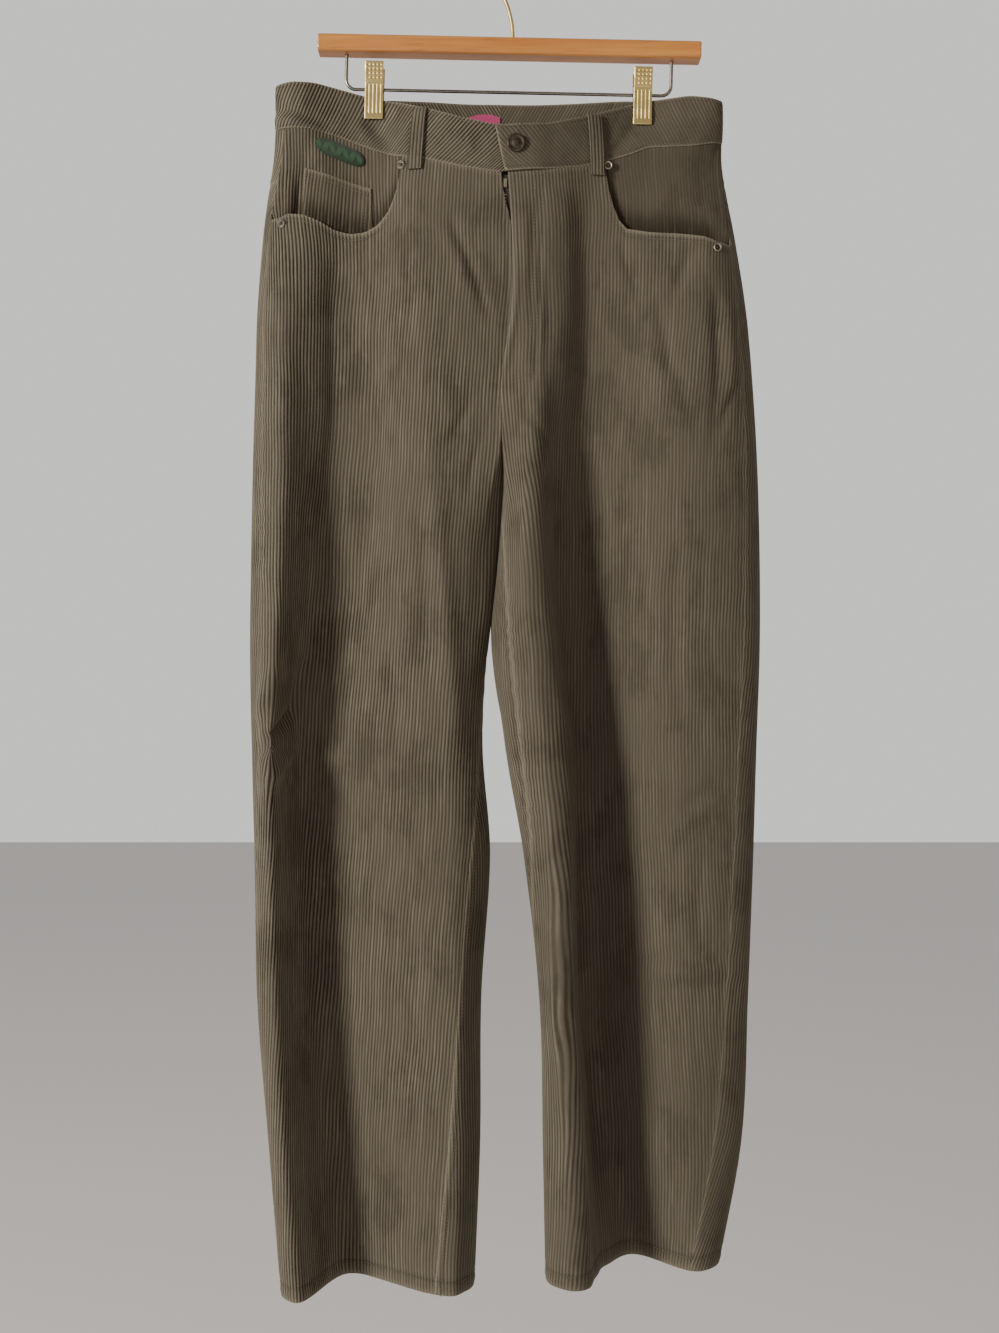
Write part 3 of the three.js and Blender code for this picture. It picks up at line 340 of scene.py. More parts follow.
    def inner_seam(self, z):
        front_end, back_start, _ = self.measures(z)
        return (front_end + back_start) / 2 + cubic(SEAM_SHIFTS[self.name], 2, z)

    def crotch_share(self, z):
        t = np.clip((FORK_Z - z) / (FORK_Z - CROTCH_Z), 0, 1)
        return 1 - np.sqrt(1 - t * t)

    def front_inner(self, z):
        fly = np.full_like(np.asarray(z, float), SEAM_GAP / 2)
        if self.name == "left":
            fly = np.where(z > FLY_END, cubic(CENTRE_FRONT, 2, z), fly)
        share = self.crotch_share(z)
        return (1 - share) * (self.measures(z)[0] - fly) + share * (self.inner_seam(z) - SEAM_GAP / 2)

    def back_inner(self, z):
        share = self.crotch_share(z)
        return (1 - share) * (self.measures(z)[1] + SEAM_GAP / 2) + share * (self.inner_seam(z) + SEAM_GAP / 2)

    def distance_at(self, x, z, part="front"):
        """The distance round at which the front or the back has this X, for each height."""
        x, z = np.broadcast_arrays(np.asarray(x, float), np.asarray(z, float))
        front_end, back_start, length = self.measures(z)
        row = np.clip(np.rint((self.levels[0] - z) / self.level_step), 0, len(self.levels) - 1).astype(int)
        made = np.empty(x.shape)
        table = self.tables[part]
        share = np.linspace(0, 1, table.shape[1])
        for index in np.ndindex(x.shape):
            line = self.inward * table[row[index], :, 0]
            if part == "back":
                line = line[::-1]
            made[index] = np.interp(self.inward * x[index], np.maximum.accumulate(line), share)
        return made * front_end if part == "front" else length - made * (length - back_start)


halves = {name: Half(name) for name in ("right", "left")}


# The creases are soft ridges and troughs laid on that form. Each is a line across the front or the back of a
# half, with its height, its half width and its points as X and Z. They are as uneven as the cloth. Those of
# the inner side give the share of the way from front to back in place of X.
J_STITCH = [(27.5, -221), (25.7, -297), (23.8, -352), (22, -385), (20.9, -404), (16.6, -412), (6.5, -415),
            (-2.6, -415.4)]
CREASES = {
    ("right", "front"): [
        (5, 16, [(-186, -240), (-182, -330), (-180, -430), (-184, -520)]),
        (-6.5, 19, [(-126, -200), (-121, -270), (-120, -367), (-133, -535), (-147, -617), (-160, -740)]),
        (-8, 7, [(-229, -746), (-214, -733), (-200, -708), (-190, -660)]),
        (5, 8, [(-232, -716), (-223, -700), (-214, -668)]),
        (4.5, 7, [(-222, -772), (-207, -756), (-193, -732)]),
        (-1.2, 3.5, [(-5, -258), (-3, -300), (-3, -340), (-7, -378), (-12, -412)]),
        (3, 13, [(-168, -230), (-170, -367), (-172, -480), (-180, -600)]),
        (-3.5, 15, [(-172, -700), (-170, -807), (-158, -985), (-150, -1120), (-146, -1400)]),
        (-3.6, 5, [(-226, -150), (-208, -152), (-190, -158), (-168, -170)]),
        (2.2, 5, [(-226, -160), (-204, -163), (-184, -170)]),
        (-2.7, 6, [(-135, -158), (-122, -176), (-106, -204)]),
        (1.8, 6, [(-146, -160), (-134, -178), (-120, -196)]),
        (-2.8, 4.5, [(-58, -256), (-40, -296), (-26, -333), (-17, -357)]),
        (2.4, 7, [(-67, -262), (-49, -301), (-35, -338)]),
        (3.3, 9, [(-72, -470), (-64, -558), (-61, -608), (-54, -682), (-49, -735)]),
        (-2.2, 7, [(-84, -520), (-79, -600), (-72, -690)]),
        (-2, 6, [(-110, -652), (-107, -700), (-104, -758)]),
        (-2.2, 7, [(-147, -734), (-148, -850), (-146, -976)]),
        (-3.3, 4, [(-226, -729), (-212, -738), (-197, -745)]),
        (-2.4, 4, [(-218, -744), (-206, -762), (-201, -782)]),
        (2.2, 6, [(-224, -748), (-219, -770), (-217, -800)]),
        (-1.8, 5, [(-216, -732), (-203, -718), (-196, -700)]),
        (-2.1, 8, [(-150, -300), (-143, -352), (-141, -420)]),
        (2.1, 9, [(-121, -290), (-116, -350), (-117, -430)]),
        (-2, 6, [(-96, -275), (-92, -325), (-93, -372)]),
        (-1.8, 7, [(-92, -860), (-88, -960), (-90, -1050)]),
        (2, 8, [(-118, -900), (-117, -1010), (-120, -1110)]),
        (-2.4, 5, [(-34, -420), (-50, -452), (-62, -470)]),
        (-1.8, 5, [(-25, -452), (-36, -486), (-42, -520)]),
    ],
    ("left", "front"): [
        (10, 13, [(19, -440), (22, -520), (27, -600), (32, -660), (40, -720), (43, -790), (44, -860), (44, -930),
                  (48, -1000), (55, -1060), (60, -1130), (64, -1190), (68, -1260), (70, -1400)]),
        (-5, 10, [(37, -400), (42, -500), (46, -625), (61, -737), (64, -830), (66, -973), (74, -1047),
                  (80, -1166), (85, -1216), (85, -1500)]),
        (2.6, 10, [(117, -322), (128, -389), (149, -450)]),
        (-2.5, 6, [(131, -330), (143, -388), (163, -440)]),
        (-2.5, 5, [(120, -415), (114, -440), (108, -468)]),
        (-2.7, 4.5, [(203, -416), (196, -434), (189, -452)]),
        (-2.8, 6, [(184, -322), (188, -388), (184, -465)]),
        (2.2, 6, [(196, -330), (200, -380), (198, -430)]),
        (-2.8, 4.5, [(196, -772), (176, -783), (151, -798)]),
        (1.8, 6, [(192, -784), (172, -797), (150, -812)]),
        (-2.2, 5, [(110, -936), (150, -930), (214, -933)]),
        (-2, 5, [(118, -962), (160, -957), (212, -960)]),
        (1.8, 6, [(122, -948), (165, -944), (208, -946)]),
        (-3.3, 7, [(167, -283), (155, -308), (143, -338)]),
        (-2.7, 6, [(99, -279), (108, -304), (118, -338)]),
        (-2.4, 5, [(147, -1196), (146, -1180), (149, -1152)]),
        (2, 9, [(133, -560), (131, -650), (136, -740)]),
        (-2.1, 7, [(150, -540), (147, -640), (151, -716)]),
        (-2, 8, [(172, -840), (169, -900), (173, -922)]),
        (-2.1, 6, [(30, -300), (33, -352), (29, -410)]),
        (-2.2, 5, [(10, -430), (26, -455), (40, -470)]),
        (2.4, 8, [(10, -235), (13, -300), (10, -370)]),
        (-1.8, 4, [(20, -250), (17, -320), (19, -385)]),
        (-1.4, 2.4, [*J_STITCH]),
        (1.4, 5, [(12, -372), (11, -392), (4, -404)]),
        (2, 3, [(1, -262), (4.5, -300), (5, -330), (2, -356), (-3, -380), (-6, -402)]),
        (5, 15, [(50, -235), (50, -300), (50, -370), (46, -440)]),
        (-2.5, 6, [(118, -160), (104, -182), (90, -204)]),
    ],
    ("right", "inner"): [
        (7.5, 12, [(0.25, -425), (0.25, -500), (0.25, -580), (0.25, -660)]),
        (0.8, 14, [(0.6, -420), (0.6, -450), (0.6, -480), (0.6, -510)]),
    ],
    ("left", "inner"): [
        (7, 13, [(0.7, -425), (0.7, -500), (0.7, -600), (0.7, -710)]),
    ],
    ("right", "back"): [
        (-3.3, 7, [(-30, -420), (-66, -446), (-108, -462)]),
        (-2.8, 6, [(-28, -448), (-58, -470), (-92, -482)]),
        (2.7, 9, [(-40, -482), (-76, -502), (-120, -508)]),
        (-2.4, 7, [(-150, -650), (-118, -662), (-84, -659)]),
        (-2.7, 6, [(-160, -690), (-130, -704), (-96, -700)]),
        (2.2, 9, [(-118, -560), (-121, -640), (-116, -730)]),
        (-2.2, 8, [(-92, -800), (-95, -900), (-90, -1010)]),
        (2.1, 8, [(-150, -880), (-152, -980), (-147, -1090)]),
        (-2.1, 6, [(-196, -500), (-199, -580), (-196, -640)]),
    ],
    ("left", "back"): [
        (-3, 7, [(12, -424), (46, -450), (84, -468)]),
        (-2.5, 6, [(10, -452), (38, -474), (70, -488)]),
        (2.7, 9, [(24, -486), (62, -508), (104, -516)]),
        (-2.7, 7, [(150, -634), (118, -650), (82, -644)]),
        (-2.4, 6, [(160, -676), (128, -688), (96, -690)]),
        (2.4, 9, [(112, -560), (116, -650), (110, -742)]),
        (-2.2, 8, [(94, -810), (97, -900), (92, -1000)]),
        (2.1, 8, [(150, -870), (153, -970), (148, -1080)]),
    ],
}
# half, which seam, the pucker's height, its pitch, its reach, and where it begins and ends
PUCKERS = [
    ("left", "inner", 1.1, 13.5, 11, -560, -860), ("left", "side", 0.8, 17, 9, -300, -960),
    ("right", "side", 0.6, 19, 9, -320, -700), ("right", "inner", 0.6, 16, 9, -640, -900),
]


def crease_lines(half):
    """A half's creases, with their points as distance round and height."""
    made = []
    for (name, part), rows in CREASES.items():
        if name == half.name:
            for height, reach, points in rows:
                x, z = np.array(points, float).T
                if part == "inner":
                    front_end, back_start, _ = half.measures(z)
                    run = front_end + x * (back_start - front_end)
                else:
                    run = half.distance_at(x, z, part)
                made.append((height, reach, np.stack([run, z], axis=1)))
    return made


def crease_height(half, s, z):
    """How far the creases and the puckers raise the cloth there."""
    total = np.zeros(s.shape)
    for height, reach, line in half.creases:
        near = (np.abs(s - line[:, 0].mean()) < np.ptp(line[:, 0]) / 2 + 3 * reach) \
            & (z > line[:, 1].min() - 3 * reach) & (z < line[:, 1].max() + 3 * reach)
        if not near.any():
            continue
        p = np.stack([s[near], z[near]], axis=1)
        best, along = np.full(len(p), np.inf), np.zeros(len(p))
        count = len(line) - 1
        for k in range(count):
            a, d = line[k], line[k + 1] - line[k]
            t = np.clip(((p - a) @ d) / (d @ d), 0, 1)
            gap = np.linalg.norm(p - a - t[:, None] * d, axis=1)
            closer = gap < best
            best[closer], along[closer] = gap[closer], (k + t[closer]) / count
        total[near] += height * np.exp(-(best / reach) ** 2) * (0.12 + 0.88 * np.sin(math.pi * along) ** 0.7)
    for name, seam, height, pitch, reach, start, end in PUCKERS:
        if name == half.name:
            length = half.measures(z)[2]
            middle = half.inner_seam(z) if seam == "inner" else half.side_seam(z)
            away = np.abs(np.mod(s - middle + length / 2, length) - length / 2)
            fade = smooth((start - z) / 60) * smooth((z - end) / 60)
            wander = z / pitch + 0.8 * np.sin(z / 41.0) + 0.5 * np.sin(z / 17.3)
            total += height * fade * np.exp(-(away / reach) ** 2) * np.sin(2 * math.pi * wander)
    return total


for half in halves.values():
    half.creases = crease_lines(half)


def place(half, s, z, off=0.0):
    """The cloth with its creases, in millimetres."""
    s, z, off = np.broadcast_arrays(np.asarray(s, float), np.asarray(z, float), np.asarray(off, float))
    return half.point(s, z, off + crease_height(half, np.mod(s, half.measures(z)[2]), z))


# The cords run down each panel along its grain, and stand up as rounded ridges with narrow valleys. A piece
# of cloth is a closed thin wall: corded outside, plain inside, and joined round its four rims.
CORD = 3.175
CORD_STEPS = (0, 0.2, 0.42, 0.58, 0.8)
CREST, SHOULDER, VALLEY = 0.24, 0.1, -0.45
INNER_EVERY = 10
GRAIN = {
    ("right", "front"): [(-101, -203), (-101, -279), (-113, -498), (-125, -716), (-137, -934), (-149, -1153)],
    ("left", "front"): [(117, -203), (117, -316), (109, -461), (106, -698), (110, -880), (121, -1153)],
    ("right", "back"): [(-100, -170), (-104, -300), (-112, -500), (-122, -716), (-136, -934), (-146, -1160)],
    ("left", "back"): [(92, -170), (96, -300), (104, -500), (112, -716), (118, -934), (126, -1160)],
}


def cord_relief(u):
    """The pile's height at u, counted in cords from a crest."""
    phase = np.abs(np.mod(u + 0.5, 1) - 0.5)
    return np.interp(phase, (0, 0.2, 0.42, 0.5), (CREST, SHOULDER, VALLEY, VALLEY))


def wander(u, z):
    """The cords don't run quite straight."""
    return 0.55 * np.sin(z / 27.0 + 0.8 * np.sin(u / 9.0)) + 0.3 * np.sin(z / 11.3 + u / 6.1)


def grain_line(half, part):
    """A reading of the distance round at which the grain's middle line lies, at any height."""
    z = np.arange(-120, -1236, -20.0)
    x_points, z_points = np.array(GRAIN[half.name, part], float).T
    x = np.interp(-z, -z_points, x_points)
    s = half.distance_at(x, z, part)
    padded = np.concatenate([[s[0]] * 2, s, [s[-1]] * 2])
    s = np.convolve(padded, np.ones(5) / 5, mode="valid")
    return lambda at: np.interp(-np.asarray(at, float), -z, s)


def cord_columns(low, high):
    """Column places in cords, from a whole cord below low to a whole cord above high."""
    cords = np.arange(math.floor(low) - 1, math.ceil(high) + 1)
    return (cords[:, None] + np.array(CORD_STEPS)).ravel()


def rim(outer, inner, outer_key, inner_key):
    """Triangles between two rims that run the same way with different steps."""
    faces, i, j = [], 0, 0
    while i + 1 < len(outer) or j + 1 < len(inner):
        if j + 1 == len(inner) or (i + 1 < len(outer) and outer_key[i + 1] <= inner_key[j + 1]):
            faces.append((outer[i], outer[i + 1], inner[j]))
            i += 1
        else:
            faces.append((outer[i], inner[j + 1], inner[j]))
            j += 1
    return [f for f in faces if len(set(f)) == 3]


def grid_faces(index):
    """Faces between neighbouring rows and columns of vertex numbers. Shared corners make triangles."""
    a, b, c, d = index[:-1, :-1], index[:-1, 1:], index[1:, 1:], index[1:, :-1]
    quads = (a != b) & (c != d)
    upper, lower = (a != b) & (c == d), (a == b) & (c != d)
    return (np.stack([a, b, c, d], axis=-1)[quads].tolist() + np.stack([a, b, c], axis=-1)[upper].tolist()
            + np.stack([a, c, d], axis=-1)[lower].tolist())


def shared_index(first, last, columns, start):
    """Vertex numbers for a grid whose rows share one vertex beyond their first and last columns."""
    k = np.arange(columns)[None, :]
    used = (k >= first[:, None]) & (k <= last[:, None])
    numbers = start + np.cumsum(used.ravel()).reshape(used.shape) - 1
    return np.take_along_axis(numbers, np.clip(k, first[:, None], last[:, None]), axis=1), used


def closed_wall(name, outer, inner, key, first, last, uv, wear, inner_uv=None):
    """A closed mesh from two grids of points. The inner grid is read at every few columns."""
    inner_uv = uv if inner_uv is None else inner_uv
    columns = outer.shape[1]
    kept = np.unique(np.append(np.arange(0, columns, INNER_EVERY), columns - 1))
    inner_first = np.searchsorted(kept, first, side="right") - 1
    inner_last = np.searchsorted(kept, last, side="left")
    front, used = shared_index(first, last, columns, 0)
    back, back_used = shared_index(inner_first, inner_last, len(kept), int(used.sum()))
    points = np.concatenate([outer[used], inner[:, kept][back_used]])
    wear = np.broadcast_to(wear, uv.shape)
    maps = {"cords": np.concatenate([uv[used], inner_uv[:, kept][back_used]]),
            "wear": np.concatenate([wear[used], wear[:, kept][back_used]])}
    faces = grid_faces(front) + [f[::-1] for f in grid_faces(back)]
    rows = range(len(first))
    for j, flip in ((0, True), (-1, False)):
        span = slice(first[j], last[j] + 1)
        inner_span = slice(inner_first[j], inner_last[j] + 1)
        made = rim(front[j, span], back[j, inner_span], key[j, span], key[j, kept][inner_span])
        faces += [f[::-1] for f in made] if flip else made
    for edge, inner_edge, flip in ((first, inner_first, False), (last, inner_last, True)):
        made = rim([front[j, edge[j]] for j in rows], [back[j, inner_edge[j]] for j in rows], rows, rows)
        faces += [f[::-1] for f in made] if flip else made
    mesh = bpy.data.meshes.new(name)
    mesh.from_pydata((points * MM).tolist(), [], [tuple(int(v) for v in f) for f in faces])
    corner = np.empty(len(mesh.loops), np.int32)
    mesh.loops.foreach_get("vertex_index", corner)
    for layer, values in maps.items():
        mesh.uv_layers.new(name=layer).uv.foreach_set("vector", values[corner].astype(np.float32).ravel())
    triangles = np.array([(f[0], f[i], f[i + 1]) for f in faces for i in range(1, len(f) - 1)])
    p, q, r = (points[triangles[:, i]] for i in range(3))
    if (p * np.cross(q, r)).sum() < 0:
        mesh.flip_normals()
    mesh.shade_smooth()
    mesh.set_sharp_from_angle(angle=math.radians(58))
    mesh.validate()
    made = bpy.data.objects.new(name, mesh)
    scene.collection.objects.link(made)
    return made


# Each kind of sewn edge: distances from it, the height there, how pale the pile is rubbed (a negative value paints
# shade into the stitched groove), and its stitches.
EDGES = {
    "plain": ((0, 1.2, 3.4, 7.5), (-0.35, 0.15, 0.3, 0), (0.5, 0.45, 0.2, 0), []),
    "stitched": ((0, 0.9, 2.4, 4.9, 6.2, 8.2), (-0.5, 0.15, 0.45, 0.4, -0.4, 0), (0.9, 0.9, 0.5, 0.15, -0.5, 0),
                 [6.2]),
    "close": ((0, 0.8, 1.7, 2.6, 4, 6.5), (-0.6, 0.1, 0.2, -0.35, 0.15, 0), (0.9, 0.9, 0.4, -0.4, 0.15, 0), [2.6]),
    "hem": ((0, 1.2, 4, 9, 12, 14.5), (-0.5, 0.2, 0.3, 0.15, -0.5, 0), (0.6, 0.5, 0.2, 0.1, -0.5, 0), [12]),
}
seam_lines = {}


def edge_shape(away, kind="stitched"):
    """A turned edge rounds down at the fold and is raised behind it. A stitched one has a line pulled in."""
    return np.interp(away, *EDGES[kind][:2])


# How pale the pile is rubbed near a sewn edge, with painted shade along its stitched groove where the value is
# negative.
def edge_wear_and_shade(away, kind="stitched"):
    return np.interp(away, EDGES[kind][0], EDGES[kind][2])


def pile_share(half, s, z):
    """How far the pile stands: crisp on the wearer's right, and brushed flat towards the left."""
    front_end, _, length = half.measures(z)
    along = np.mod(s, length) / front_end
    across = along if half.name == "right" else 2 - along
    share = np.interp(across, (0, 0.2, 0.45, 1, 1.2, 2), (1, 0.92, 0.66, 0.55, 0.36, 0.42))
    share = np.where(along > 1, 0.75, share)
    return share * (1 + 0.16 * np.sin(z / 47 + 5 * across) + 0.1 * np.sin(z / 19 - 9 * across))


def corded_cloth(name, half, u, s_at, z, low, high, wall, base=0.0, lift=None, seams=None, put=place,
                 pile=1.0, mouth=None, tone=None, upright_inside=False):
    """A corded wall on the grid z[row, column]. s_at gives the distance for u and z, kept from low to high.
    seams names the kind of each sewn edge: l at low, h at high, t at the top, b at the bottom. Only the mouth's
    columns have t. pile scales how far the cords stand, and tone makes them paler where it is positive and paints
    shade on them where it is negative."""
    seams = seams or {}
    s_free = s_at(u[None, :], z)
    lower, upper = (edge(z) if callable(edge) else edge for edge in (low, high))
    s = np.clip(s_free, lower, upper)
    first = np.maximum(np.argmax(s_free > lower, axis=1) - 1, 0)
    last = np.minimum(s.shape[1] - np.argmax((s_free < upper)[:, ::-1], axis=1), s.shape[1] - 1)
    slope = np.gradient(s_free, axis=1) / np.gradient(u)[None, :]
    cords = u[None, :] + (s - s_free) / slope
    edge, worn = np.zeros(s.shape), np.zeros(s.shape)
    off = base + (lift(s, z) if lift else 0) + 0 * s
    columns, rows = np.arange(s.shape[1]), np.arange(s.shape[0])
    for letter, gap in (("l", s - lower), ("h", upper - s), ("t", z[:1] - z), ("b", z - z[-1:])):
        if letter not in seams:
            continue
        kind = seams[letter]
        # rubbed is the pale wear of the edge, and painted shade along its stitch line where it is negative.
        shape, rubbed = edge_shape(gap, kind), edge_wear_and_shade(gap, kind)
        if letter == "t" and mouth is not None:
            shape = np.where(mouth, shape, edge_shape(gap, "plain"))
            rubbed = np.where(mouth, rubbed, edge_wear_and_shade(gap, "plain"))
        edge = np.where(np.abs(edge) > 0, np.minimum(edge, shape), shape)
        worn = np.where(np.abs(rubbed) > np.abs(worn), rubbed, worn)
        for inset in EDGES[kind][3]:
            if letter in "lh":
                line_s = np.broadcast_to(lower + inset if letter == "l" else upper - inset, z.shape)[:, 0]
                line_z = np.array([np.interp(line_s[j], s[j], z[j]) for j in rows])
                line_off = np.array([np.interp(line_s[j], s[j], off[j]) for j in rows])
            else:
                kept = [k for k in columns if first.min() < k < last.max()
                        and (mouth is None or letter != "t" or mouth[k])
                        and s_free[:, k].min() > np.min(lower) + 2 and s_free[:, k].max() < np.max(upper) - 2]
                line_z = np.array([z[0, k] - inset if letter == "t" else z[-1, k] + inset for k in kept])
                line_s = np.array([np.interp(-v, -z[:, k], s[:, k]) for v, k in zip(line_z, kept)])
                line_off = np.array([np.interp(-v, -z[:, k], off[:, k]) for v, k in zip(line_z, kept)])
            if len(line_z) > 2:
                seam_lines.setdefault(name, []).append(put(half, line_s, line_z, line_off - 0.1))
    stand = np.clip(pile * pile_share(half, s, z), 0.1, 1.1)
    # worn holds the rubbed pale edges and the painted shade: the stitched grooves, and tone where it is negative.
    worn = worn + (tone(s, z) if tone else 0)
    outer = put(half, s, z, off + cord_relief(cords) * stand + edge)
    inner = put(half, s, z, off - wall(z))
    uv = np.stack([cords, -z / 100], axis=-1)
    inner_uv = np.stack([s / CORD, -z / 100], axis=-1) if upright_inside else None
    return closed_wall(name, outer, inner, s, first, last, uv, np.stack([stand, worn], axis=-1), inner_uv), s, z


thin_wall = lambda z: np.full_like(z, CLOTH_WALL)


# The corduroy's colour follows its cords: the pile is rubbed paler on the crests, and painted shade, dark and warm,
# fills the valleys. Broad soft patches show where the nap was brushed the other way.
def corduroy_material(name, crest, shade_and_nap_colour, rubbed):
    material, tree = plain_material(name)

    def calculate(kind, a, b=None, value=0.5):
        made = add_node(tree, "ShaderNodeMath", {0: a}, {"operation": kind})
        if b is None:
            made.inputs[1].default_value = value
        else:
            tree.links.new(b, made.inputs[1])
        return made.outputs[0]

    def noise(vector, stretch, detail, roughness):
        scaled = add_node(tree, "ShaderNodeVectorMath", {0: vector}, {"operation": "MULTIPLY"})
        scaled.inputs[1].default_value = stretch
        made = add_node(tree, "ShaderNodeTexNoise", {"Vector": scaled.outputs[0]}, Scale=1.0, Detail=detail,
                        Roughness=roughness)
        return made.outputs["Fac"]

    def ramp(source, start, end, low=0.0, high=1.0):
        return add_node(tree, "ShaderNodeMapRange", {"Value": source}, {"interpolation_type": "SMOOTHSTEP"},
                        From_Min=start, From_Max=end, To_Min=low, To_Max=high).outputs[0]

    def blend(factor, a, colour):
        made = add_node(tree, "ShaderNodeMix", {"Factor": factor}, {"data_type": "RGBA"})
        made.inputs["B"].default_value = linear(colour)
        if isinstance(a, str):
            made.inputs["A"].default_value = linear(a)
        else:
            tree.links.new(a, made.inputs["A"])
        return made.outputs["Result"]

    uv = add_node(tree, "ShaderNodeUVMap", settings={"uv_map": "cords"}).outputs["UV"]
    spot = add_node(tree, "ShaderNodeTexCoord").outputs["Object"]
    across = add_node(tree, "ShaderNodeSeparateXYZ", {"Vector": uv}).outputs["X"]
    wrapped = calculate("FRACT", calculate("ADD", across))
    phase = calculate("ABSOLUTE", calculate("SUBTRACT", wrapped))
    pile = noise(uv, (9.0, 95.0, 1.0), 3.0, 0.6)
    streak = noise(uv, (0.85, 1.6, 1.0), 3.0, 0.65)
    nap = noise(spot, (26.0, 26.0, 15.0), 4.0, 0.65)
    wear = add_node(tree, "ShaderNodeSeparateXYZ", {"Vector": add_node(
        tree, "ShaderNodeUVMap", settings={"uv_map": "wear"}).outputs["UV"]})
    stand, worn = wear.outputs["X"], wear.outputs["Y"]
    ragged = calculate("ADD", phase, calculate("MULTIPLY", calculate("SUBTRACT", pile), value=0.16))
    # Painted shade darkens the valleys between the cords, scaled by how far the pile stands.
    valley_shade_share = calculate("MULTIPLY", ramp(ragged, 0.14, 0.42), ramp(nap, 0.36, 0.64, 1.0, 0.7))
    flattened = calculate("MULTIPLY", calculate("SUBTRACT", stand, value=1.0), value=-0.5)
    colour = blend(calculate("ADD", calculate("MULTIPLY", valley_shade_share, stand), flattened), crest, shade_and_nap_colour)
    fuzz = ramp(noise(uv, (3.0, 60.0, 1.0), 2.0, 0.5), 0.25, 0.6, 0.35, 1.0)
    edge_rub = calculate("MULTIPLY", calculate("MULTIPLY", ramp(worn, 0.05, 1.0), fuzz), value=0.7)
    colour = blend(edge_rub, colour, rubbed)
    # Painted shade: a negative worn darkens towards the shade colour at the stitched grooves and the pocket mouths.
    colour = blend(calculate("MULTIPLY", ramp(worn, -0.05, -1.0), value=0.8), colour, shade_and_nap_colour)
    rubbing = calculate("MULTIPLY", ramp(streak, 0.42, 0.72), ramp(phase, 0.34, 0.08))
    rubbing = calculate("MULTIPLY", rubbing, stand)
    colour = blend(calculate("MULTIPLY", rubbing, value=0.75), colour, rubbed)
    colour = blend(calculate("MULTIPLY", ramp(nap, 0.5, 0.34), value=0.22), colour, shade_and_nap_colour)
    bump = add_node(tree, "ShaderNodeBump", {"Height": pile}, Strength=0.6, Distance=0.0005)
    cloth = add_node(tree, "ShaderNodeBsdfPrincipled", {"Base Color": colour, "Normal": bump.outputs[0]},
                     Roughness=0.92, Sheen_Weight=0.22, Sheen_Roughness=0.4)
    cloth.inputs["Specular IOR Level"].default_value = 0.15
    cloth.inputs["Sheen Tint"].default_value = linear("#c2bca6")
    add_node(tree, "ShaderNodeOutputMaterial", {"Surface": cloth.outputs[0]})
    return material


# The third colour is painted shade in the cord valleys, the stitched grooves and the pocket mouths, and the tone of
# the darker nap patches.
corduroy = corduroy_material("olive_corduroy", "#676155", "#282118", "#827c6b")


def dress(made, node, material):
    """The piece takes its node's place, its material and its slot."""
    made.data.materials.append(material)
    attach(made, "root")
    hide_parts(node)


def panel_heights(tops, join, bottom, top_rows=20, step=6.0):
    """Rows of heights for columns with these tops: closer ones down to the join, and then even ones."""
    share = np.linspace(0, 1, top_rows + 1)[:-1, None]
    upper = tops[None, :] + (join - tops[None, :]) * share
    count = int(math.ceil((join - bottom) / step))
    lower = np.linspace(join, bottom, count + 1)[:, None] + 0 * tops[None, :]
    return np.concatenate([upper, lower])


def waist_height(x, edge):
    """The height of the band's upper edge or of the waist seam, in front or behind, at x."""
    column = ["x", "front top", "front seam", "back top", "back seam"].index(edge)
    return np.interp(x, WAIST_LINE[:, 0], WAIST_LINE[:, column])


def settled_tops(half, u, s_at, low, high, top_of, start=-235.0, turns=6):
    """Each column's upper end, where its own x meets the line that top_of gives."""
    z = np.full(u.shape, start)
    for _ in range(turns):
        s = np.clip(s_at(u, z), low(z), high(z))
        z = top_of(half.point(s, z)[:, 0], s, z)
    return z


JOIN_Z = -330
hem_wall = lambda half: lambda z: np.where(z <= HEM_Z[half.name] + HEM_HEIGHT, HEM_WALL, CLOTH_WALL)
YOKE_SIDE, YOKE_CENTRE, YOKE_BEND = -222, -258, 1.2


def front_panel(half):
    middle = grain_line(half, "front")
    s_at = lambda u, z: middle(z) + u * CORD + wander(u, z)
    low = lambda z: half.side_seam(z) + SEAM_GAP / 2
    high = half.front_inner
    mouth = np.array(SCOOP[half.name], float)
    mouth = mouth[np.argsort(mouth[:, 0])]

    def top_of(x, s, z):
        seam = waist_height(x, "front seam") - SEAM_GAP / 2
        outside = half.inward * x <= half.inward * (mouth[-1, 0] if half.inward > 0 else mouth[0, 0])
        return np.where(outside, np.minimum(np.interp(x, mouth[:, 0], mouth[:, 1]), seam), seam)

    levels = np.arange(-205, HEM_Z[half.name], -8.0)
    u = cord_columns(((low(levels) - middle(levels)) / CORD).min(), ((high(levels) - middle(levels)) / CORD).max())
    tops = settled_tops(half, u, s_at, low, high, top_of)
    z = panel_heights(tops, JOIN_Z, HEM_Z[half.name])
    top_x = half.point(np.clip(s_at(u, tops), low(tops), high(tops)), tops)[:, 0]
    mouth_end = mouth[-1, 0] if half.inward > 0 else mouth[0, 0]
    made, s, z = corded_cloth("cloth_front_" + half.name, half, u, s_at, z, low, high, hem_wall(half),
                              seams={"l": "plain", "h": "plain", "t": "stitched", "b": "hem"},
                              mouth=half.inward * top_x <= half.inward * mouth_end)
    dress(made, "front_panel_" + half.name, corduroy)


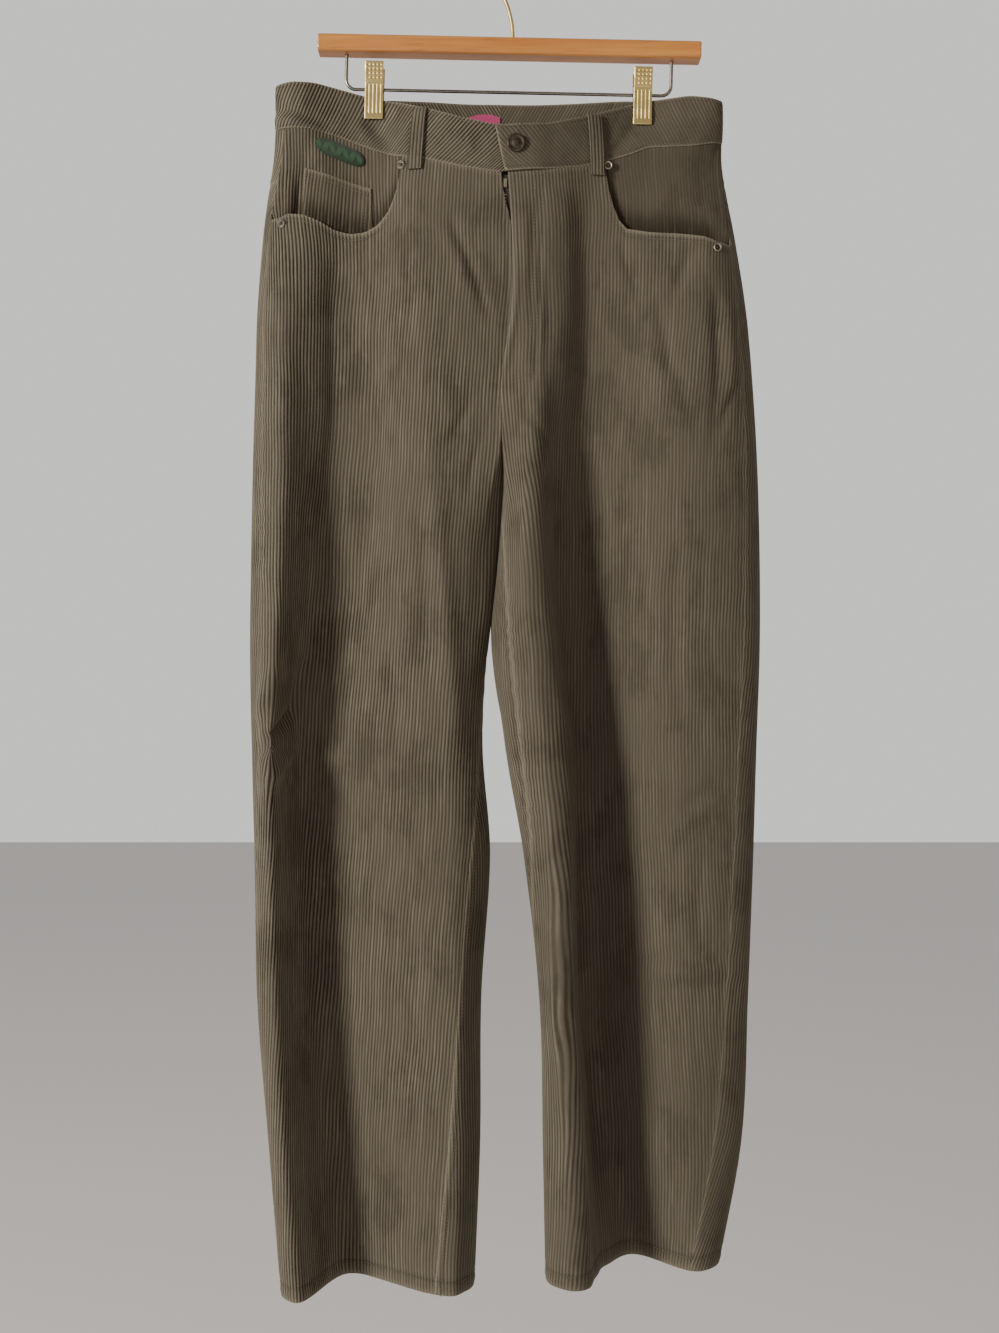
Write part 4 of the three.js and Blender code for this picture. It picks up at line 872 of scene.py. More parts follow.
def back_panel(half):
    middle = grain_line(half, "back")
    s_at = lambda u, z: middle(z) + u * CORD + wander(u, z)
    low = half.back_inner
    high = lambda z: half.measures(z)[2] + half.side_seam(z) - SEAM_GAP / 2

    def top_of(x, s, z):
        share = (high(z) - s) / (high(z) - half.measures(z)[1])
        return YOKE_SIDE + (YOKE_CENTRE - YOKE_SIDE) * np.clip(share, 0, 1) ** YOKE_BEND - SEAM_GAP / 2

    levels = np.arange(-205, HEM_Z[half.name], -8.0)
    u = cord_columns(((low(levels) - middle(levels)) / CORD).min(), ((high(levels) - middle(levels)) / CORD).max())
    tops = settled_tops(half, u, s_at, low, high, top_of)
    z = panel_heights(tops, JOIN_Z, HEM_Z[half.name])
    made, s, z = corded_cloth("cloth_back_" + half.name, half, u, s_at, z, low, high, hem_wall(half),
                              seams={"l": "stitched", "h": "plain", "t": "plain", "b": "hem"})
    dress(made, "back_panel_" + half.name, corduroy)


for half in halves.values():
    front_panel(half)
    back_panel(half)


# The back yokes lie between the back panels and the band. Their cords lean a little to the centre.
def back_yoke(half):
    middle = grain_line(half, "back")
    s_at = lambda u, z: middle(z) + u * CORD + 0.16 * (z + 210)
    low = half.back_inner
    high = lambda z: half.measures(z)[2] + half.side_seam(z) - SEAM_GAP / 2
    levels = np.arange(-175, -262, -6.0)
    u = cord_columns(((low(levels) - middle(levels)) / CORD).min() - 3,
                     ((high(levels) - middle(levels)) / CORD).max() + 3)
    over = settled_tops(half, u, s_at, low, high,
                        lambda x, s, z: waist_height(x, "back seam") - SEAM_GAP / 2, -185.0)

    def under_of(x, s, z):
        share = (high(z) - s) / (high(z) - half.measures(z)[1])
        return YOKE_SIDE + (YOKE_CENTRE - YOKE_SIDE) * np.clip(share, 0, 1) ** YOKE_BEND + SEAM_GAP / 2

    under = settled_tops(half, u, s_at, low, high, under_of)
    z = over + (under - over) * np.linspace(0, 1, 12)[:, None]
    made, s, z = corded_cloth("cloth_yoke_" + half.name, half, u, s_at, z, low, high, thin_wall,
                              seams={"l": "stitched", "h": "plain", "b": "stitched"})
    dress(made, "back_yoke_" + half.name, corduroy)


# The waistband is two mirrored halves, with the cords running slantwise. They meet at the centre back, and in
# front the left half laps over the right one, which runs on under it.
BAND_WALL, BAND_PROUD = 3.0, 0.6
LAP_LIFT, LAP_CLEAR, LAP_RISE = 3.3, 42, 24
LAP_END = (-15.5, -6.5)
UNDER_END = 13
BAND_ROWS = 16
SLANT_SIDE, SLANT_CENTRE = math.radians(22), math.radians(42)
BAND_PILE = {"right": 1.5, "left": 0.65}


def around(half, s, z, off):
    """The cloth at a distance that may run on past the centre front, onto the other half."""
    s, z, off = np.broadcast_arrays(s, z, off)
    front_end, _, length = half.measures(z)
    beyond = s - length - front_end
    made = place(half, s, z, off)
    past = beyond > 0
    if past.any():
        other = halves["left" if half.name == "right" else "right"]
        there = other.measures(z)[0] - beyond
        made[past] = place(other, there[past], z[past], off[past])
    return made


def waistband(half):
    mid_z = -170.0
    front_end, back_start, length = (float(v) for v in half.measures(mid_z))
    run = np.arange(back_start, length + front_end + 26, 2.0)
    x = around(half, run, np.full_like(run, mid_z), np.zeros_like(run))[:, 0]
    in_front = smooth((run - length + 8) / 16)
    edges = []
    for edge in ("top", "seam"):
        line = waist_height(x, "back " + edge) * (1 - in_front) + waist_height(x, "front " + edge) * in_front
        edges.append(np.convolve(np.pad(line, 2, mode="edge"), np.ones(5) / 5, mode="valid"))
    toward = np.abs(run - length) / (front_end * 0.8)
    slant = SLANT_SIDE + (SLANT_CENTRE - SLANT_SIDE) * smooth((toward - 0.3) / 0.7)
    counted = np.concatenate([[0], np.cumsum(np.cos(slant[1:]) * np.diff(run))]) / CORD
    u = cord_columns(-12, counted[-1] + 12)
    plain = np.interp(u, counted, run) + np.where(u < 0, u * CORD, 0)
    plain = plain + np.where(u > counted[-1], (u - counted[-1]) * CORD, 0)
    lean = np.tan(np.interp(plain, run, slant))
    share = np.linspace(0, 1, BAND_ROWS)[:, None]
    z = mid_z + 0 * share + 0 * u[None, :]
    spot = lambda z: plain[None, :] + lean[None, :] * (z - mid_z)
    for _ in range(5):
        over = np.interp(spot(z), run, edges[0])
        z = over + (np.interp(spot(z), run, edges[1]) + SEAM_GAP / 2 - over) * share
    front_ends, back_starts, lengths = half.measures(z)
    if half.name == "left":
        beyond = CENTRE_X - (LAP_END[0] + (LAP_END[1] - LAP_END[0]) * share)
    else:
        beyond = UNDER_END - CENTRE_X

    def lift(s, z):
        if half.name == "right":
            return 0
        x = around(half, s, z, 0.0)[..., 0]
        return np.where(s > lengths, LAP_LIFT * smooth((LAP_CLEAR - x) / LAP_RISE), 0)

    made, s, z = corded_cloth("cloth_band_" + half.name, half, u, lambda u, z: spot(z) + half.measures(z)[2] - length,
                              z, back_starts + SEAM_GAP / 2, lengths + front_ends + beyond,
                              lambda z: np.full_like(z, BAND_WALL), BAND_PROUD, lift,
                              {"h": "close", "t": "close", "b": "close"}, around, BAND_PILE[half.name],
                              upright_inside=True)
    dress(made, "waistband_" + half.name, corduroy)


# The pocket facings show in the mouths of the front pockets, and a small coin pocket lies on the right one.
FACING_BEHIND, FACING_BOTTOM = 2.7, -296
FACING_END = {"right": -76, "left": 64}


def facing_sag(half, s, z):
    """The facings hang slack in the mouths, and meet the side seam above them."""
    x = half.point(s, z)[..., 0]
    from_side = s - half.side_seam(z)
    deep = smooth((waist_height(x, "front seam") - z) / 34) * smooth(from_side / 26)
    fold = 1.3 * np.sin(from_side / 8.5 + z / 31) * (1 if half.name == "right" else 0.35)
    trough = 3.4 * np.exp(-((x + 196) / 6) ** 2) * smooth((-212 - z) / 22) if half.name == "right" else 0
    mouth_side = SCOOP["right"][0][1] if half.name == "right" else SCOOP["left"][-1][1]
    raised = 2.45 * (1 - smooth(from_side / 9)) * smooth((z - mouth_side - 1) / 7)
    under_band = 1.9 * (1 - smooth((waist_height(x, "front seam") - z) / 8))
    return np.maximum(raised, under_band) - deep * (3.6 + fold) - trough


def mouth_shade(half):
    """Painted shade on the pile, darker towards the pocket's mouth."""
    mouth = np.array(SCOOP[half.name], float)
    mouth = mouth[np.argsort(mouth[:, 0])]

    def tone(s, z):
        x = half.point(s, z)[..., 0]
        return -0.95 * smooth(1 - (z - np.interp(x, mouth[:, 0], mouth[:, 1])) / 34) * smooth(
            (s - half.side_seam(z) - 6) / 18)
    return tone


def pocket_facing(half):
    middle = grain_line(half, "front")
    s_at = lambda u, z: middle(z) + u * CORD + wander(u, z)
    low = lambda z: half.side_seam(z) + SEAM_GAP / 2
    ends = np.arange(-160, -300, -6.0)
    end_line = half.distance_at(FACING_END[half.name] + 0 * ends, ends)
    high = lambda z: np.interp(-z, -ends, end_line)
    u = cord_columns(((low(ends) - middle(ends)) / CORD).min(), ((high(ends) - middle(ends)) / CORD).max())
    over = settled_tops(half, u, s_at, low, high,
                        lambda x, s, z: waist_height(x, "front seam") - 2 * SEAM_GAP, -190.0)
    z = over + (FACING_BOTTOM - over) * np.linspace(0, 1, 26)[:, None]
    made, s, z = corded_cloth("cloth_facing_" + half.name, half, u, s_at, z, low, high, thin_wall,
                              -FACING_BEHIND, lambda s, z: facing_sag(half, s, z),
                              pile=0.95 if half.name == "right" else 0.5, tone=mouth_shade(half))
    dress(made, "pocket_facing_" + half.name, facing_corduroy)


COIN = {"top": -208, "fall": 0.32, "from": -191, "to": -131, "behind": 2.1, "wall": 1.1, "clear": 1.5, "least": 3}


def coin_pocket():
    half = halves["right"]
    middle = grain_line(half, "front")
    s_at = lambda u, z: middle(z) + u * CORD + 0.06 * (z + 230)
    ends = np.arange(-190, -290, -6.0)
    low_line = half.distance_at(COIN["from"] + 0 * ends, ends)
    high_line = half.distance_at(COIN["to"] + 0 * ends, ends)
    low, high = (lambda z: np.interp(-z, -ends, low_line)), (lambda z: np.interp(-z, -ends, high_line))
    u = cord_columns(((low_line - middle(ends)) / CORD).min(), ((high_line - middle(ends)) / CORD).max())
    mouth = np.array(SCOOP["right"], float)
    over_of = lambda x, s, z: COIN["top"] - COIN["fall"] * (x - COIN["from"])
    over = settled_tops(half, u, s_at, low, high, over_of, -210.0)
    under = settled_tops(half, u, s_at, low, high, lambda x, s, z: np.minimum(
        over_of(x, s, z) - COIN["least"], np.interp(x, mouth[:, 0], mouth[:, 1]) + COIN["clear"]))
    z = over + (under - over) * np.linspace(0, 1, 14)[:, None]
    slack = lambda s, z: facing_sag(half, s, z) + 0.5 - 0.8 * smooth((z[:1] - z) / 30) * np.sin((s - low(z)) / 9.0)
    made, s, z = corded_cloth("cloth_coin_pocket", half, u, s_at, z, low, high,
                              lambda z: np.full_like(z, COIN["wall"]), COIN["wall"] - COIN["behind"], slack,
                              seams={"l": "close", "h": "close", "t": "stitched"}, pile=0.8, tone=mouth_shade(half))
    dress(made, "coin_pocket", facing_corduroy)


# A darker copy of the corduroy paints shade on the facings, the coin pocket and the fly shield, which lie in shade.
facing_corduroy = corduroy_material("facing_corduroy", "#625c50", "#271f17", "#7e7766")
for half in halves.values():
    back_yoke(half)
    waistband(half)
    pocket_facing(half)
coin_pocket()


# Belt loops and back pockets: corded strips and patches set on the cloth, in X and Z.
def side_of(half_name, part):
    """A placing function for X, Z and a distance out, on the front or the back of a half."""
    half = halves[half_name]
    return lambda x, z, off: place(half, half.distance_at(x, z, part), z, off)


def patch(name, put, columns, z, off, wall, cords, away, material, node, relief=None,
          pile=0.75):
    """A patch over the grid columns and z, corded unless relief is given. cords is the place in cords."""
    relief = pile * cord_relief(cords) if relief is None else relief
    x, z = np.broadcast_arrays(columns, z)
    rows, count = x.shape
    outer = put(x, z, off + wall + np.broadcast_to(relief, x.shape) + edge_shape(away))
    inner = put(x, z, off)
    first, last = np.zeros(rows, int), np.full(rows, count - 1)
    uv = np.stack([np.broadcast_to(cords, x.shape), -z / 100], axis=-1)
    wear = np.stack([np.full(x.shape, pile), edge_wear_and_shade(np.broadcast_to(away, x.shape))], axis=-1)
    made = closed_wall(name, outer, inner, x, first, last, uv, wear)
    dress(made, node, material)
    return made


LOOP_WIDTH, LOOP_WALL, LOOP_STAND, LOOP_END, LOOP_BELOW = 12, 2, 1.6, 1, 11
LOOPS = [("belt_loop_1", -83, "front", -5, "right"), ("belt_loop_2", 75, "front", 3, "left"),
         ("belt_loop_3", -150, "back", 0, "right"), ("belt_loop_4", -10, "back", 0, "both"),
         ("belt_loop_5", 146, "back", 0, "left")]


def both_backs(x, z, off):
    """The back on either side of the centre."""
    x, z, off = np.broadcast_arrays(x, z, off)
    left = x > CENTRE_X
    made = side_of("right", "back")(np.minimum(x, CENTRE_X), z, off)
    made[left] = side_of("left", "back")(x[left], z[left], off[left])
    return made


def belt_loop(name, x, part, lean, side):
    edges = [float(waist_height(x, part + " " + edge)) for edge in ("top", "seam")]
    high, low = edges[0] - 1, edges[1] - LOOP_BELOW
    t = np.linspace(0, 1, 34)[:, None]
    z = high + (low - high) * t
    across = np.linspace(-LOOP_WIDTH / 2, LOOP_WIDTH / 2, 23)[None, :]
    bow = np.sin(math.pi * t) ** 0.5
    tacked = smooth((t - 0.86) / 0.05) * (1 - smooth((t - 0.93) / 0.04))
    stand = BAND_PROUD + LOOP_END + LOOP_STAND * bow - 0.5 * tacked
    away = np.minimum(LOOP_WIDTH / 2 - np.abs(across), np.minimum(t, 1 - t) * (high - low))
    rounded = -0.9 * (1 - smooth(away / 1.6)) + 0 * t
    put = both_backs if side == "both" else side_of(side, part)
    patch(name.replace("belt_loop", "cloth_loop"), put, x + across + lean * t, z, stand + rounded * 0.6, LOOP_WALL,
          across / CORD + 0.1, np.full(t.shape, 99.0) + 0 * across, corduroy, name)


for row in LOOPS:
    belt_loop(*row)

BACK_POCKET = {"width": 132, "top": -276, "side": 128, "point": 18, "off": 0.5}
for name, x in (("right", -118), ("left", 98)):
    half_width = BACK_POCKET["width"] / 2
    across = np.interp(cord_columns(-half_width / CORD, half_width / CORD), [-half_width / CORD, half_width / CORD],
                       [-half_width, half_width])
    across = np.unique(across)[None, :]
    bottom = BACK_POCKET["top"] - BACK_POCKET["side"] - BACK_POCKET["point"] * (1 - np.abs(across) / half_width)
    t = np.linspace(0, 1, 30)[:, None]
    z = BACK_POCKET["top"] + (bottom - BACK_POCKET["top"]) * t
    away = np.minimum(np.minimum(half_width - np.abs(across), BACK_POCKET["top"] - z), z - bottom)
    patch("cloth_back_pocket_" + name, side_of(name, "back"), x + across, z, BACK_POCKET["off"], CLOTH_WALL,
          across / CORD, away, corduroy, "back_pocket_" + name)


# The fly's inner pieces: a shield of cloth, the zip's tape with its two rows of teeth, and the slider at the
# top. They lie on a plain strip behind the fly's edge.
def inner_strip(behind, thickness):
    """A placing function on the strip, whose outer side is that far behind the centre's front."""
    back = behind + thickness
    return lambda x, z, off: np.stack(np.broadcast_arrays(
        x, cubic(SECTIONS["right"], 12, z) + back - off, z), axis=-1)


def plain_grid(x_from, x_to, z_from, z_to, columns, rows):
    return np.linspace(x_from, x_to, columns)[None, :], np.linspace(z_from, z_to, rows)[:, None]


def threads_material(name, light, dark, across, along, tilt=0.0, gloss=0.6, relief=0.0003):
    """Close threads in waves, with a noise of loose fibres."""
    material, tree = plain_material(name)
    spot = add_node(tree, "ShaderNodeTexCoord").outputs["Object"]
    turned = add_node(tree, "ShaderNodeVectorRotate", {"Vector": spot}, {"rotation_type": "Y_AXIS"}, Angle=tilt)
    waves = []
    for axis, count in (("X", across), ("Z", along)):
        waves.append(add_node(tree, "ShaderNodeTexWave", {"Vector": turned.outputs[0]},
                              {"bands_direction": axis}, Scale=count, Distortion=0.6, Detail=1.0))
    both = add_node(tree, "ShaderNodeMath", {0: waves[0].outputs["Fac"], 1: waves[1].outputs["Fac"]},
                    {"operation": "MULTIPLY"})
    mixed = add_node(tree, "ShaderNodeMix", {"Factor": both.outputs[0]}, {"data_type": "RGBA"})
    mixed.inputs["A"].default_value = linear(dark)
    mixed.inputs["B"].default_value = linear(light)
    bump = add_node(tree, "ShaderNodeBump", {"Height": both.outputs[0]}, Strength=0.7, Distance=relief)
    cloth = add_node(tree, "ShaderNodeBsdfPrincipled", {"Base Color": mixed.outputs["Result"],
                     "Normal": bump.outputs[0]}, Roughness=gloss, Sheen_Weight=0.15)
    add_node(tree, "ShaderNodeOutputMaterial", {"Surface": cloth.outputs[0]})
    return material


def metal_material(name, colour, worn, roughness, scratch=0.12):
    """Metal with fine scratches, and a tone that wanders between bright and dull."""
    material, tree = plain_material(name)
    spot = add_node(tree, "ShaderNodeTexCoord").outputs["Object"]
    broad = add_node(tree, "ShaderNodeTexNoise", {"Vector": spot}, Scale=160.0, Detail=4.0, Roughness=0.6)
    fine = add_node(tree, "ShaderNodeTexNoise", {"Vector": spot}, Scale=1400.0, Detail=2.0)
    share = add_node(tree, "ShaderNodeMapRange", {"Value": broad.outputs["Fac"]}, From_Min=0.35, From_Max=0.68)
    tone = add_node(tree, "ShaderNodeMix", {"Factor": share.outputs[0]}, {"data_type": "RGBA"})
    tone.inputs["A"].default_value = linear(colour)
    tone.inputs["B"].default_value = linear(worn)
    rough = add_node(tree, "ShaderNodeMapRange", {"Value": broad.outputs["Fac"]}, From_Min=0.3, From_Max=0.75,
                     To_Min=roughness, To_Max=roughness + 0.18)
    bump = add_node(tree, "ShaderNodeBump", {"Height": fine.outputs["Fac"]}, Strength=scratch, Distance=0.0002)
    metal = add_node(tree, "ShaderNodeBsdfPrincipled", {"Base Color": tone.outputs["Result"],
                     "Roughness": rough.outputs[0], "Normal": bump.outputs[0]}, Metallic=1.0)
    add_node(tree, "ShaderNodeOutputMaterial", {"Surface": metal.outputs[0]})
    return material


brass = metal_material("bright_brass", "#dcc98b", "#c0a468", 0.36, 0.03)
wire_steel = metal_material("plated_steel", "#a39d93", "#7d766c", 0.25)
dark_metal = metal_material("antique_metal", "#5b5449", "#3a342c", 0.58, 0.4)
ring_metal = metal_material("rubbed_ring", "#b3ada0", "#7a7468", 0.42)
zip_metal = metal_material("zip_metal", "#d9d2c2", "#8f8058", 0.25)
tape_cloth = threads_material("zip_tape_weave", "#4a4237", "#231e18", 260.0, 300.0, 0.6, 0.85)
pink_cloth = threads_material("pink_tape_weave", "#d9518f", "#a83569", 240.0, 420.0, 0.0, 0.5)

x, z = plain_grid(-24, 12, -221, -380, 61, 30)
patch("cloth_fly_shield", inner_strip(3.4, CLOTH_WALL), x, z, 0.0, CLOTH_WALL, x / CORD, 99.0 + 0 * (x + z),
      facing_corduroy, "fly_shield")
x, z = plain_grid(-19, 5, -223, -372, 25, 40)
patch("woven_zip_tape", inner_strip(2.1, 1.0), x, z, 0.0, 0.6, x / CORD, 99.0 + 0 * (x + z), tape_cloth,
      "zip_tape", 0.0)
x, z = plain_grid(-40, -10.6, 0, 1, 30, 16)
z = -149 - ((x + 25) / 15) ** 2 * 3 + z * (-178 + 149 + ((x + 25) / 15) ** 2 * 3)
patch("woven_size_tape", side_of("right", "back"), x, z, BAND_PROUD - BAND_WALL - 1.3, 1.0, x / CORD,
      99.0 + 0 * (x + z), pink_cloth, "size_tape", 0.0)


def mesh_piece(name, points, faces, material, smooth_angle=40):
    """A piece from points in millimetres and faces."""
    mesh = bpy.data.meshes.new(name)
    mesh.from_pydata([tuple(float(c) * MM for c in p) for p in points], [], [tuple(map(int, f)) for f in faces])
    mesh.validate()
    mesh.materials.append(material)
    mesh.shade_smooth()
    mesh.set_sharp_from_angle(angle=math.radians(smooth_angle))
    made = bpy.data.objects.new(name, mesh)
    scene.collection.objects.link(made)
    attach(made, "root")
    return made


def rounded_box(centre, size, bevel):
    """Points and faces of a box with cut corners."""
    half_size = np.array(size) / 2
    inner = half_size - bevel
    levels = [(-half_size[2], inner[:2]), (-inner[2], half_size[:2]), (inner[2], half_size[:2]),
              (half_size[2], inner[:2])]
    points = []
    for level, (hx, hy) in levels:
        cx, cy = min(hx, inner[0]), min(hy, inner[1])
        ring = [(-hx, -cy), (-cx, -hy), (cx, -hy), (hx, -cy), (hx, cy), (cx, hy), (-cx, hy), (-hx, cy)]
        points += [(px, py, level) for px, py in ring]
    faces = [[8 * k + i, 8 * k + (i + 1) % 8, 8 * k + 8 + (i + 1) % 8, 8 * k + 8 + i]
             for k in range(3) for i in range(8)]
    faces += [list(range(7, -1, -1)), list(range(24, 32))]
    return np.array(points) + np.array(centre), faces


def joined(parts):
    points, faces, count = [], [], 0
    for p, f in parts:
        points.append(np.asarray(p, float))
        faces += [[v + count for v in face] for face in f]
        count += len(p)
    return np.concatenate(points), faces


TOOTH_PITCH = 1.5
ZIP_X = -7.0
teeth = []
for k, z in enumerate(np.arange(-238, -262, -TOOTH_PITCH)):
    y = float(cubic(SECTIONS["right"], 12, z)) + 2.1 - 0.15
    teeth.append(rounded_box((ZIP_X + (0.9 if k % 2 else -0.9), y, z), (3.0, 1.2, 1.0), 0.25))
zip_teeth = mesh_piece("zip_teeth", *joined(teeth), zip_metal, 30)
slider_y = float(cubic(SECTIONS["right"], 12, -229.0)) + 2.1 - 0.3 - 0.75
slider = mesh_piece("zip_pull", *joined([
    rounded_box((-5.7, slider_y, -229), (3.4, 1.5, 8.0), 0.4),
    rounded_box((-5.7, slider_y - 0.3, -230.5), (2.2, 0.8, 4.0), 0.3)]), zip_metal, 30)
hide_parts("zip_slider")


# The badge is satin-stitched: a dark green ground with a row of plain leaves raised in thread.
BADGE = {"left": -181, "right": -136, "left_z": -184, "right_z": -202, "half": 8, "wall": 1.2, "behind": 1.62}
LEAVES = 7


def badge_material():
    material, tree = plain_material("satin_stitch")
    uv = add_node(tree, "ShaderNodeUVMap", settings={"uv_map": "cords"}).outputs["UV"]
    height = add_node(tree, "ShaderNodeSeparateXYZ", {"Vector": uv}).outputs["X"]
    spot = add_node(tree, "ShaderNodeTexCoord").outputs["Object"]
    turned = add_node(tree, "ShaderNodeVectorRotate", {"Vector": spot}, {"rotation_type": "Y_AXIS"}, Angle=0.7)
    thread = add_node(tree, "ShaderNodeTexWave", {"Vector": turned.outputs[0]}, {"bands_direction": "X"},
                      Scale=620.0, Distortion=1.2, Detail=2.0)
    ground = add_node(tree, "ShaderNodeMix", {"Factor": height}, {"data_type": "RGBA"})
    ground.inputs["A"].default_value = linear("#14301a")
    ground.inputs["B"].default_value = linear("#386b3c")
    dark = add_node(tree, "ShaderNodeMix", {"Factor": thread.outputs["Fac"], "B": ground.outputs["Result"]},
                    {"data_type": "RGBA"})
    dark.inputs["A"].default_value = linear("#0f2412")
    bump = add_node(tree, "ShaderNodeBump", {"Height": thread.outputs["Fac"]}, Strength=0.8, Distance=0.0003)
    cloth = add_node(tree, "ShaderNodeBsdfPrincipled", {"Base Color": dark.outputs["Result"],
                     "Normal": bump.outputs[0]}, Roughness=0.6, Sheen_Weight=0.05)
    add_node(tree, "ShaderNodeOutputMaterial", {"Surface": cloth.outputs[0]})
    return material


middle_x = (BADGE["left"] + BADGE["right"]) / 2
half_length = (BADGE["right"] - BADGE["left"]) / 2
x = np.linspace(BADGE["left"], BADGE["right"], 120)[None, :]
across = np.linspace(1, -1, 44)[:, None]
high = BADGE["half"] * np.sqrt(np.maximum(0.08, 1 - np.abs((x - middle_x) / half_length) ** 4))
z = np.interp(x, [BADGE["left"], BADGE["right"]], [BADGE["left_z"], BADGE["right_z"]]) + high * across
leaf_raise = np.zeros(z.shape)
for k in range(LEAVES):
    centre = -0.82 + 1.64 * k / (LEAVES - 1)
    dx = ((x - middle_x) / half_length - centre) * half_length
    dz = high * across
    tilt = 0.42 if k % 2 else -0.42
    along, aside = dz * math.cos(tilt) + dx * math.sin(tilt), dx * math.cos(tilt) - dz * math.sin(tilt)
    reach = 6.3 if 0 < k < LEAVES - 1 else 4.6
    leaf = np.clip(1 - (np.abs(along) / reach) ** 1.7 - (np.abs(aside) / 2.6) ** 2, 0, 1)
    leaf_raise = np.maximum(leaf_raise, np.sqrt(leaf) * np.where(np.abs(aside) < 0.28, 0.5, 1))
edge_gap = np.minimum((1 - np.abs(across)) * high, half_length - np.abs(x - middle_x))
edge_fall = np.interp(edge_gap, [0, 1], [-0.35, 0])
half = halves["right"]
badge_s = half.distance_at(np.broadcast_to(x, z.shape), z)
put = lambda x, z, off: place(half, badge_s, z, off + facing_sag(half, badge_s, z))
points = put(x, z, -BADGE["behind"] + BADGE["wall"] + 0.45 * leaf_raise + edge_fall)
back_points = put(x, z, -BADGE["behind"])
count = x.shape[1]
badge = closed_wall("stitched_leaves", points, back_points, np.broadcast_to(x, z.shape), np.zeros(len(z), int),
                    np.full(len(z), count - 1), np.stack([leaf_raise, -z / 100], axis=-1), (0, 0))
badge.data.materials.append(badge_material())
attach(badge, "root")
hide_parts("stitched_badge")


# The button and the rivets are turned from profiles of radius and height, and set square to the cloth.
def turned(name, profile, seat, out, material, sides=40):
    """A lathed piece. The profile starts and ends on its axis."""
    axis = Vector(out).normalized().to_track_quat("Z", "Y").to_matrix()
    angles = [2 * math.pi * i / sides for i in range(sides)]
    points, faces = [], []
    for r, h in profile:
        points += [tuple(np.array(seat) + np.array(axis @ Vector((r * math.cos(a), r * math.sin(a), h))))
                   for a in angles]
    for k in range(len(profile) - 1):
        faces += [(sides * k + i, sides * k + (i + 1) % sides, sides * (k + 1) + (i + 1) % sides,
                   sides * (k + 1) + i) for i in range(sides)]
    faces += [tuple(range(sides - 1, -1, -1)), tuple(range(sides * (len(profile) - 1), sides * len(profile)))]
    return mesh_piece(name, points, faces, material, 50)


def front_seat(x, z, off):
    """A point of the front and the way out there."""
    put = side_of("right" if x < CENTRE_X else "left", "front")
    seat, above = put(np.array([x]), np.array([z]), np.array([off]))[0], \
        put(np.array([x]), np.array([z]), np.array([off + 1.0]))[0]
    return seat, above - seat


seat, out = front_seat(3.5, -194.0, BAND_PROUD + LAP_LIFT + 0.6)
button = turned("button_cap", [(0.05, 0), (4, 0), (4, 1), (8.1, 1.2), (8.5, 1.6), (8.5, 2.1), (8.0, 2.75),
                (7.2, 3.0), (6.6, 2.95), (6.2, 2.55), (5.4, 2.45), (3.2, 2.55), (2.9, 2.85), (1.2, 2.9),
                (0.05, 2.9)], seat, out, dark_metal, 56)
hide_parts("waist_button")
RIVETS = (("rivet_1", -210, -263), ("rivet_2", -101, -209), ("rivet_3", 88, -209), ("rivet_4", 187, -285))
for name, x, z in RIVETS:
    seat, out = front_seat(float(x), float(z), 0.8)
    ring = turned(name.replace("rivet", "ring"), [(0.05, 0), (4.0, 0), (4.0, 0.6), (3.7, 1.1), (3.2, 1.3),
                  (2.7, 1.0), (2.4, 0.5), (1.5, 0.42), (0.05, 0.4)], seat, out, ring_metal, 32)
    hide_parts(name)
    stud = turned(name.replace("rivet", "stud"), [(0.05, 0.42), (2.35, 0.5), (2.3, 0.62), (1.25, 0.62),
                  (1.05, 1.3), (0.6, 1.6), (0.05, 1.65)], seat, out, dark_metal, 24)


# The hanger hangs a little lower on the wearer's left: a lacquered bar, a brass hook, and a steel rod that
# carries two sprung clips.
HANG = math.radians(1.2)


def hang(points):
    x, y, z = np.asarray(points, float).T
    return np.stack([x * math.cos(HANG) + z * math.sin(HANG), y, z * math.cos(HANG) - x * math.sin(HANG)], axis=1)


def wire_line(points, tension, steps):
    """An even run of points on a smooth line through the given ones, in X and Z."""
    p = np.array([(a, 0, b) for a, b in points], float)
    p = np.concatenate([[2 * p[0] - p[1]], p, [2 * p[-1] - p[-2]]])
    made = []
    for k in range(1, len(p) - 2):
        a, b = p[k], p[k + 1]
        m, n = tension * (b - p[k - 1]), tension * (p[k + 2] - a)
        for t in np.arange(steps) / steps:
            made.append((2 * t ** 3 - 3 * t ** 2 + 1) * a + (t ** 3 - 2 * t ** 2 + t) * m
                        + (3 * t ** 2 - 2 * t ** 3) * b + (t ** 3 - t ** 2) * n)
    return np.array([*made, p[-2]])


def wire(name, line, radius, material, sides=16):
    """A round wire along a line of points, with closed ends."""
    tangent = np.gradient(line, axis=0)
    tangent /= np.linalg.norm(tangent, axis=1, keepdims=True)
    side = np.cross(tangent[0], (0, 1, 0) if abs(tangent[0][1]) < 0.9 else (1, 0, 0))
    points, faces = [], []
    for p, t in zip(line, tangent):
        side = side - t * (side @ t)
        side /= np.linalg.norm(side)
        other = np.cross(t, side)
        points += [p + radius * (side * math.cos(a) + other * math.sin(a))
                   for a in np.arange(sides) * 2 * math.pi / sides]
    for k in range(len(line) - 1):
        faces += [(sides * k + i, sides * k + (i + 1) % sides, sides * (k + 1) + (i + 1) % sides,
                   sides * (k + 1) + i) for i in range(sides)]
    faces += [tuple(range(sides - 1, -1, -1)), tuple(range(sides * (len(line) - 1), sides * len(line)))]
    return mesh_piece(name, points, faces, material, 60)


